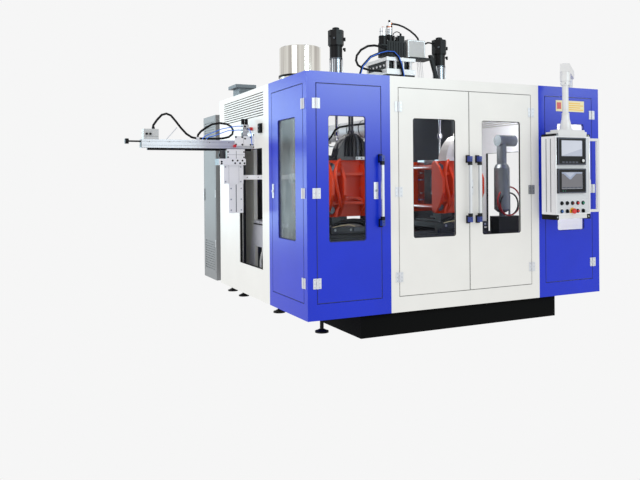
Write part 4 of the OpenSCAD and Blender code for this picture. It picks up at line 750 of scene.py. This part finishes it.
p = Piece("air valve details", "zinc")
for x in (-100, -62):
    p.upright((x, VALVE_Y), 2062, 2066, 14, "dark steel")
    for k in range(3):
        p.upright((x, VALVE_Y), 2012 + 17 * k, 2017 + 17 * k, 18.2, "rubber", n=28)
p.box((-116, -44), (1344, 1345), (1961, 1964), "dark steel")
p.level((-92, 1984), 1345, 1338, 15, "plate", n=28)
p.level((-92, 1984), 1338, 1336.5, 12, "black", n=28)
for z in (1948, 1988):
    p.rod((-115, 1362, z), (-127, 1362, z), 7, "black", n=18)
p.level((-60, 1960), 1345, 1335, 7, "black", n=18)
p.rod((-12, 1310, 1796), (-20, 1310, 1796), 7, "black", n=18)
for z in (1932, 1996):
    p.level((-60, z), 1345, 1342.5, 3.5, "steel", n=12)
p.box((-111, -59), (1352.2, 1353.1), (1895, 1899), "dark steel")
p.rod((-32, 1372, 1964), (-36, 1372, 1964), 13, "zinc")
p.box((-26, -22), (1080, 1142), (1912, 1992), "rubber")
for z in (1970, 1934):
    p.rod((-26, 1111, z), (-29, 1111, z), 9, "dark steel", n=20)
p.done(0.8)

p = Piece("take-out carriage details", "black", "takeout_carriage")
for x, z in ((-204, 1607), (-178, 1634), (-152, 1607), (-126, 1634),
             (-104, 1607), (-230, 1634), (-345, 1622), (-345, 1602)):
    p.level((x, z), 1324, 1322.6, 9.5, "black")
p.bolts((-275, -106), CARRIAGE_Y, (1668, 1722), FRONT, 6, "black", 5)
p.box((-190, -186), (CARRIAGE_Y - 0.8, CARRIAGE_Y), (1654, 1734), "dark steel")
p.box((-283, -98), (CARRIAGE_Y - 0.8, CARRIAGE_Y), (1693, 1695), "dark steel")
for x in (-265, -158):
    p.box(span(x, 1), (ARM_Y - 0.8, ARM_Y), (1402, 1588), "dark steel")
p.bolts((-300, -140), ARM_Y, (1420, 1570), FRONT, 6, "steel", 4)
for z in (1130, 1240, 1350):
    p.bolts((-240, -132), LOWER_ARM_Y, z, FRONT, 6, "steel", 4)
p.box((-190, -182), (LOWER_ARM_Y - 1, LOWER_ARM_Y), (1110, 1390), "dark steel")
p.upright(DRIVE, 1731, 1738, 26, "dark steel", n=28)
for k in range(5):
    p.upright(DRIVE, 1664 + 13 * k, 1668 + 13 * k, 34, "motor dark", n=28)
p.box((-366, -352), (1350, 1378), (1676, 1706), "black")
for y in (1344, 1418):
    p.box((432, 498), (y, y + 26), (1404, 1436), "rubber")
p.bolts((440, 486), (1372, 1416), 1499.5, UP, 5, "steel", 4)
for x in (-60, 60, 180, 300):
    p.level((x, 1463), 1372, 1370, 5, "black", n=16)
p.done(0.8)

# Side openings: tubes on the duct, lip of the chute, edge seals

# The blue air tubes here glow: painted light
p = Piece("left opening fittings", "air blue with painted glow")
for i, key in enumerate(("air blue with painted glow", "rubber", "air blue with painted glow")):
    x, y = 306 + 14 * i, 1868 - 2 * i
    p.tube([(x, y, 2290), (x, y - 3, 1900), (x, y - 14, 1560 + 40 * i),
            (x, y - 4, 1300 + 30 * i), (x, y, 1120)], 5, key, n=8, smooth=3)
p.box((190, 200), (1050, 1895), (944, 955), "black")
p.bolts(200, (1120, 1320, 1520, 1720, 1860), 972, LEFT, 6, "steel", 5)
for z in (1000, 1300, 1600, 1900, 2200):
    p.box((290, 300), (1884, 1900), (z, z + 24), "black")
p.done(0.8)

for name, x in (("left opening seal", (6, 34)), ("right opening seal", (3371, 3399))):
    p = Piece(name, "rubber")
    y0, y1, z0, z1, w = 1089, 1811, 538, 1755, 4
    for y in ((y0, y0 + w), (y1 - w, y1)):
        p.box(x, y, (z0, z1), "rubber")
    for z in ((z0, z0 + w), (z1 - w, z1)):
        p.box(x, (y0 + w, y1 - w), z, "rubber")
    p.done(0.8, 1)

# Head: black block, actuators, junction box and blow cylinders

TOP_Z, SPACER_Z = 3000, 2716

p = Piece("head block", "black")
p.box((1572, 1912), (1302, 1722), (2672, 2761), "black")
p.box((1560, 1924), (1262, 1742), (2594, 2610), "black")
for x in (1620, 1680, 1740, 1800, 1860):
    p.level((x, SPACER_Z), 1302, 1282, 11, "steel", n=20)
    p.level((x, SPACER_Z), 1282, 1274, 15, "black", n=6)
for y in (1340, 1420, 1500, 1580, 1660):
    p.rod((1572, y, SPACER_Z), (1560, y, SPACER_Z), 12, "bright plate", n=20)
p.bolts((1574.5, 1674.5, 1774.5, 1874.5), (1280, 1725), 2801, UP, 12, "zinc", 9)
p.done()

p = Piece("actuator details", "black")
for x, y, z, r, h in ((1640, 1500, TOP_Z, 20, 38), (1705, 1365, TOP_Z, 17, 64), (1742, 1352, TOP_Z, 15, 50),
                      (1818, 1500, TOP_Z, 20, 46), (1620, 1440, TOP_Z, 14, 30), (1800, 1362, 3071, 12, 26)):
    p.upright((x, y), z, z + h, r, "black", n=20)
    p.upright((x, y), z + h, z + h + 6, r * 0.7, "zinc", n=6)
p.tube([(1705, 1365, 3064), (1705, 1362, 3090), (1740, 1350, 3112), (1782, 1356, 3104), (1800, 1362, 3092)],
       5, "rubber", n=8)
p.tube([(1640, 1500, 3038), (1640, 1500, 3080), (1670, 1490, 3110),
        (1690, 1480, 3080), (1704, 1472, 3030), (1706, 1470, 3001)], 5, "rubber", n=8)
for i in range(7):
    p.box((1614 + 34 * i, 1622 + 34 * i), (1324, 1330), (2842, 2988), "black")
for i in range(5):
    p.box((1593, 1599.5), (1345 + 34 * i, 1353 + 34 * i), (2842, 2905), "black")
p.bolts((1612, 1835), (1342, 1518), TOP_Z, UP, 7, "steel", 6)
p.upright(ACTUATOR, 3070, 3080, 34, "black", n=8)
p.upright(ACTUATOR, 3162, 3178, 22, "copper")
for z in (3098, 3116, 3134):
    p.upright(ACTUATOR, z, z + 5, 30, "dark steel", n=32)
p.rod((1690, 1400, 3210), (1700, 1400, 3210), 15, "copper", n=6)
p.rod((1702, 1400, 3210), (1714, 1400, 3210), 14.5, "black", n=20)
p.upright(SIDE_ACTUATOR, 3137, 3149, 25, "bright plate")
p.upright(SIDE_ACTUATOR, 3149, 3158, 12, "copper", n=6)
for z in (2975, 2995, 3015, 3035):
    p.upright(SIDE_ACTUATOR, z, z + 7, 47.5, "black", n=36)
p.upright(SIDE_ACTUATOR, 3100, 3105, 37, "dark steel", n=32)
for x in (1782, 1832):
    p.upright((x, 1390), 3071, 3080, 13, "zinc")
p.upright((1722.5, 1480), 3196, 3204, 36, "dark steel", n=28)
p.tube([(1722, 1480, 3270), (1726, 1478, 3250), (1735, 1470, 3190), (1738, 1450, 3100), (1740, 1430, 3003)],
       3.5, "green", n=8)
p.rod((1599.5, 1350, 2915), (1588, 1350, 2915), 17, "black", n=6)
p.rod((1552.5, 1350, 2650), (1541, 1350, 2650), 17, "zinc", n=6)
p.done(0.8)

p = Piece("junction box details", "box grey")
outer = rounded(1884, 2105, 2831, 3025, 8)
inner = rounded(1889, 2100, 2836, 3020, 6)
p.slab(outer, 1328.6, 1330, "zinc", inner)
for x in (1893, 2096):
    for z in (2840, 3016):
        p.level((x, z), 1330, 1326.5, 5, "steel", n=14)
p.upright((2063, 1400), 3033, 3046, 16, "black", n=6)
for x in (2010, 2045, 2085):
    p.upright((x, 1345), 2823, 2806, 11, "black", n=18)
for i in range(4):
    x = 2015 + 22 * i
    p.tube([(x, 1345, 2806), (x - 4, 1342, 2740), (x + 6, 1340, 2640),
            (x + 2, 1338, 2480), (x + 10, 1336, 2301)], 3, "white pipe", n=8, smooth=3)
p.done(0.8)

for side, x in STATIONS:
    axis = (x, LINE_Y)
    p = Piece(side + " blow cylinder details", "black")
    for k in range(8):
        p.bolt(around(axis, 3081, 66, 45 * k), UP, 8, "dark steel", 7)
    for z0, z1, r, key, n in (
            (3111, 3116, 28, "dark steel", 32), (2906, 2917, 79, "black", 40), (3040, 3046, 85, "black", 8),
            (2764, 2776, 73, "dark steel", 40), (2320, 2334, 77, "steel", 40)):
        p.upright(axis, z0, z1, r, key, n=n)
    for z in (2995, 2880):
        p.rod((x + 78, 1430, z), (x + 96, 1425, z), 13, "black", n=20)
        p.upright((x + 96, 1425), z + 13, z - 26, 11, "black", n=20)
    p.rod((x - 84, 1420, 3010), (x - 97, 1417, 3010), 12, "black", n=6)
    p.rod((x - 55, 1382, 2985), (x - 62, 1371, 2985), 12, "dark steel", n=6)
    for a in (30, 150, 210, 330):
        p.upright(around(axis, 0, 71, a), 2334, 2764, 6, "zinc", n=12)
    p.done()

# Electrical cabinet, hopper and roof vent

p = Piece("electrical cabinet details", "ecab")
p.box((8, 742), (2705, 3221), (221, 290), "black")
for z in (620, 1225, 1830):
    p.box((-5, 0), (2712, 2722), (z, z + 90), "zinc")
p.box((-7, 0), (3188, 3206), (1180, 1330), "dark steel")
p.box((-12, -7), (3192, 3202), (1190, 1290), "zinc")
for y in (2728, 3214):
    p.box((-1, 0.4), (y, y + 3), (300, 2200), "dark steel")
for x in (90, 375, 660):
    p.upright((x, 2963), 2228, 2246, 26, "zinc")
for z in (520, 1300, 2080):
    for x in (362, 388):
        p.box(span(x, 9), (3229, 3236), (z, z + 70), "zinc")
p.box((395, 415), (3229, 3240), (1180, 1330), "dark steel")
p.done(1.5)

p = Piece("hopper details", "mirror steel with painted streaks")
for k in range(6):
    p.upright(around(HOPPER, 0, 300, 60 * k + 20), 3381.5, 3390.5, 14, "steel", n=20)
p.upright(HOPPER, 3394, 3398.6, 70, "zinc", n=40)
p.box((1690, 1715), (4327, 4336), (2990, 3370), "steel")
for z in (3060, 3290):
    p.box((1676, 1729), (4330, 4342), (z, z + 26), "dark steel")
p.done()

p = Piece("roof vent details", "vent dark")
p.bolts((150, 311), (2190, 2436), 2538, UP, 6, "steel", 5)
for i in range(4):
    p.box((89.4, 90.6), (2180 + 62 * i, 2228 + 62 * i), (2506, 2532), "column grey")
p.done(0.8)

# Stations: hoses, tie-bar nuts, bolts, water fittings and blow pin nuts

PLATEN_Y, PLATEN_BACK_Y, YOKE_Y = 1140, 1760, 2060


def water_fittings(p, x, y):
    """Two feeds and two returns on each side of a mould half."""
    for sx in (-1, 1):
        # The blue fittings glow: painted light
        for z, key in ((1180, "air blue with painted glow"), (1260, "red hose"), (1420, "air blue with painted glow"), (1500, "red hose")):
            p.rod((x + sx * 150, y, z), (x + sx * 168, y, z), 9, "zinc", n=6)
            p.rod((x + sx * 168, y, z), (x + sx * 186, y, z), 7, key, n=14)


for (side, x), hose_key in zip(STATIONS, ("rubber", "white pipe")):
    tie_bars = [(bar_x, z) for bar_x in span(x, TIE_BAR_X) for z in TIE_BAR_Z]
    p = Piece(side + " front platen details", "zinc", side + "_front")
    p.box((x + 20, x + 150), (1034, 1050), (1641, 1672), "zinc")
    p.bolts((x + 35, x + 85, x + 135), 1034, 1656, FRONT, 6, "black", 6)
    for dx, r, key in ((-100, 8, hose_key), (-60, 11, hose_key), (-20, 8, hose_key), (40, 11, "dark steel"),
                       (90, 8, hose_key)):
        p.tube([(x + dx * 0.25, 1100, 1918), (x + dx * 0.55, 1050, 1905 - abs(dx) * 0.2),
                (x + dx * 0.9, 1036, 1850), (x + dx, 1035, 1760), (x + dx, 1036, 1676)], r, key)
    for bar in tie_bars:
        p.level(bar, PLATEN_Y, PLATEN_Y - 16, 46, "dark steel", n=32)
        p.level(bar, PLATEN_Y - 16, PLATEN_Y - 48, 40, "dark steel", n=6)
        p.level(bar, YOKE_Y, YOKE_Y + 20, 40, "dark steel", n=6)
    p.bolts(span(x, 130), PLATEN_Y, PLATEN_BOLT_Z, FRONT, 11, "steel", 9)
    p.tube([(x - 160, 1060, 1640), (x - 215, 1020, 1590), (x - 240, 1005, 1480), (x - 225, 1000, 1340),
            (x - 190, 1010, 1230), (x - 170, 1040, 1150)], 17, "orange", n=12)
    p.tube([(x + 160, 1045, 1200), (x + 205, 1005, 1260), (x + 215, 1000, 1400),
            (x + 200, 1010, 1520), (x + 150, 1045, 1630)], 13, "rubber")
    p.level((x, PLATEN_Z), YOKE_Y, YOKE_Y + 14, 104, "frame", n=48)
    for k in range(8):
        a = math.radians(45 * k + 22)
        p.bolt((x + 93 * math.cos(a), YOKE_Y + 14, PLATEN_Z + 93 * math.sin(a)), BACK, 7, "steel", 7)
    p.bolts(span(x, 110), 1200, (1150, 1300, 1450, 1620), UP, 5, "steel", 3)
    water_fittings(p, x, 1270)
    p.done(1.2)

    p = Piece(side + " rear platen details", "zinc", side + "_rear")
    for bar in tie_bars:
        p.level(bar, PLATEN_BACK_Y, PLATEN_BACK_Y + 10, 44, "dark steel", n=32)
    p.bolts(span(x, 130), PLATEN_BACK_Y, PLATEN_BOLT_Z, BACK, 11, "steel", 9)
    water_fittings(p, x, 1630)
    p.done(1.2)

    p = Piece(side + " carriage details", "rubber", side + "_carriage")
    p.tube([(x - 300, 975, 942), (x - 250, 965, 975), (x - 120, 960, 995),
            (x + 20, 962, 985), (x + 90, 970, 950)], 15, "rubber", n=12)
    p.tube([(x - 280, 1000, 942), (x - 200, 985, 985), (x - 90, 985, 1010),
            (x + 60, 985, 1000), (x + 150, 995, 945)], 15, "rubber", n=12)
    p.tube([(x - 300, 962, 941), (x - 220, 955, 955), (x - 120, 955, 962), (x - 40, 958, 944)],
           5, "cream", n=8)
    p.bolts((x - 270, x - 90, x + 90, x + 270), 960.5, 910, FRONT, 10, "steel", 8)
    p.bolts(span(x, 250), (1030, 1110, 1790, 1870), 940, UP, 9, "steel", 7)
    p.box(span(x, 60), (952, 960), (890, 930), "dark steel")
    p.done(1.2)

    p = Piece(side + " blow pin details", "zinc", side + "_blow_pin")
    p.upright((x, LINE_Y), 1962, 1976, 24, "steel", n=28)
    p.upright((x, LINE_Y), 1908, 1914, 22, "zinc", n=6)
    p.done(0.6)

# Machine frame: bolts, front covers, fittings and small boxes

p = Piece("machine frame details", "steel")
for x in (640, 2765):
    for y in (1244, 1604):
        p.bolts(span(x, 26), y, 601, UP, 9, "steel", 7)
for x in range(700, 2750, 250):
    p.bolt((x, 1010, 710), FRONT, 11, "steel", 9)
    p.box((x + 40, x + 210), (1005, 1010), (300, 560), "frame")
    p.bolts((x + 52, x + 198), 1005, (312, 548), FRONT, 5, "steel", 4)
p.bolts((800, 1300, 2100, 2600), (1248, 1292), 2300, UP, 9, "steel", 8)
p.rod((680, 1270, 1800), (692, 1270, 1800), 18, "zinc", n=6)
p.upright((1445, 1270), 2200, 2188, 18, "zinc", n=6)
p.box((1000, 1060), (1226, 1230), (2215, 2285), "zinc")
p.box((1380, 1500), (1222, 1230), (2210, 2290), "box grey")
p.done()

# Extruder: shroud seams, heater boxes, gearbox and motor fittings

BARREL_Z, MOTOR_Z, GEARBOX_TOP, GEARBOX_BACK = 2050, 1250, 2330, 4599

p = Piece("extruder details", "steel")
for i in range(7):
    y = 1700 + 307 * i
    p.level((MID_X, BARREL_Z), y + 8, y + 14, 117, "steel", n=56)
    p.box((1672, 1733), (y + 120, y + 190), (1920, 1937), "box grey")
    p.tube([(1702, y + 155, 1920), (1712, y + 160, 1900), (1740, y + 180, 1888), (1790, y + 200, 1884)],
           6, "rubber", n=8, smooth=3)
p.box((1780, 1800), (1700, 3850), (1876, 1890), "zinc")
p.bolts(span(MID_X, 130), 3869, (1910, 2190), FRONT, 10, "zinc", 8)
p.bolts(span(MID_X, 200), (4200, 4280, 4360, 4440), GEARBOX_TOP, UP, 10, "zinc", 9)
p.upright((MID_X, 4330), GEARBOX_TOP, GEARBOX_TOP + 26, 22, "zinc")
p.upright((MID_X, 4330), GEARBOX_TOP + 26, GEARBOX_TOP + 36, 30, "black")
for z in (1300, 1700, 2050):
    p.bolts(span(MID_X, 150), GEARBOX_BACK, z, BACK, 9, "zinc", 7)
for i in range(9):
    p.box((1602, 1803), (GEARBOX_BACK - 0.6, GEARBOX_BACK + 1), (1420 + 30 * i, 1432 + 30 * i), "black")
p.level((MID_X, MOTOR_Z), 3749, 3733, 182, "motor", n=56)
for r in (60, 90, 120, 150):
    p.ring((MID_X, MOTOR_Z), r, r + 8, 3731.4, 3733, "black", 40)
p.box((1826, 1940), (3962, 4136), (1384, 1446), "motor")
p.rod((1953, 4050, 1410), (1966, 4050, 1410), 15, "black", n=20)
p.done(1.2)

# Name plate on the right door, with plain colour fields

p = Piece("name plate", "cream")
p.box((2810, 3200), (-3, -0.2), (2118, 2232), "cream")
p.box((2822, 2880), (-4, -3), (2142, 2210), "red")
for i in range(4):
    p.box((2900, 3185 - 40 * (i % 2)), (-3.8, -3), (2134 + 22 * i, 2144 + 22 * i), "yellow")
p.done(0.6, 1)

# Rear wall: panel seams, bolts, vents and edge strips of the opening

p = Piece("rear wall details", "zinc")
for x in (480, 2925):
    p.box(span(x, 1.5), (REAR - 0.4, REAR + 0.5), (300, 2330), "column grey")
p.bolts((70, 450, 510, 1120, 2285, 2895, 2955, 3335), REAR, (290, 780, 1290, 1800, 2300), BACK, 7, "zinc", 6)
p.bolts((1180, 1530, 1875, 2225), REAR, 2350, BACK, 7, "zinc", 6)
for x in (280, 3125):
    p.box(span(x, 130), (REAR, REAR + 6), (1880, 2200), "vent dark")
    for i in range(9):
        p.box(span(x, 112), (REAR + 6, REAR + 10), (1900 + 32 * i, 1916 + 32 * i), "black")
for x in (1150, 2255):
    p.box(span(x, 4), (REAR - 45, REAR + 5), (262, 2325), "frame")
p.done(0.8)

# Camera and light

scene = bpy.context.scene
cam_data = bpy.data.cameras.new("camera")
cam_data.lens = 38.32
cam_data.sensor_width = 36
cam_data.sensor_fit = "HORIZONTAL"
cam_data.shift_y = -0.0952
cam_data.clip_end = 200
camera = bpy.data.objects.new("camera", cam_data)
camera.location = (-4.0719, -6.7565, 1.4390)
camera.rotation_euler = Euler((math.radians(90), math.radians(0.468), math.radians(-25.174)), "XYZ")
scene.collection.objects.link(camera)
scene.camera = camera
scene.view_settings.view_transform = "Standard"

world = bpy.data.worlds.new("studio")
scene.world = world
world.use_nodes = True
background = world.node_tree.nodes["Background"].inputs
background["Color"].default_value = (1, 1, 1, 1)
background["Strength"].default_value = 0.922


def lamp(name, place, target, size, power, tint=(1, 1, 1), sheen=False):
    """Area lamp; a sheen lamp shows in reflections only and lights no matt surface."""
    data = bpy.data.lights.new(name, "AREA")
    data.shape = "RECTANGLE"
    data.size, data.size_y = size
    data.energy = power
    data.color = tint
    o = bpy.data.objects.new(name, data)
    o.location = place
    o.visible_camera = False
    o.visible_diffuse = not sheen
    o.rotation_euler = (Vector(target) - Vector(place)).to_track_quat("-Z", "Y").to_euler()
    scene.collection.objects.link(o)


PALE_BLUE = (0.75, 0.95, 1)
lamp("key", (-8.5, -3.5, 5), (-1, 0, 1.2), (5, 4), 110)
lamp("left sheen", (-5, 7.2, 2), (-1.7, -1, 1.2), (4, 3.4), 138, (0.6, 0.88, 1), True)
lamp("left inside light", (-1.45, -0.75, 1.75), (-0.75, -0.25, 1.3), (0.12, 0.5), 2.7)
lamp("inside light", (0.75, -0.35, 2.15), (1.6, -0.5, 1.5), (0.5, 0.5), 14)
lamp("right sheen", (7.2, -7.4, 3.9), (1.3, -1.4, 2.1), (2.4, 1.5), 95, PALE_BLUE, True)
lamp("front sheen", (2.4, -8.2, 4.1), (-1.3, -1.4, 1.9), (3.2, 2.6), 440, PALE_BLUE, True)
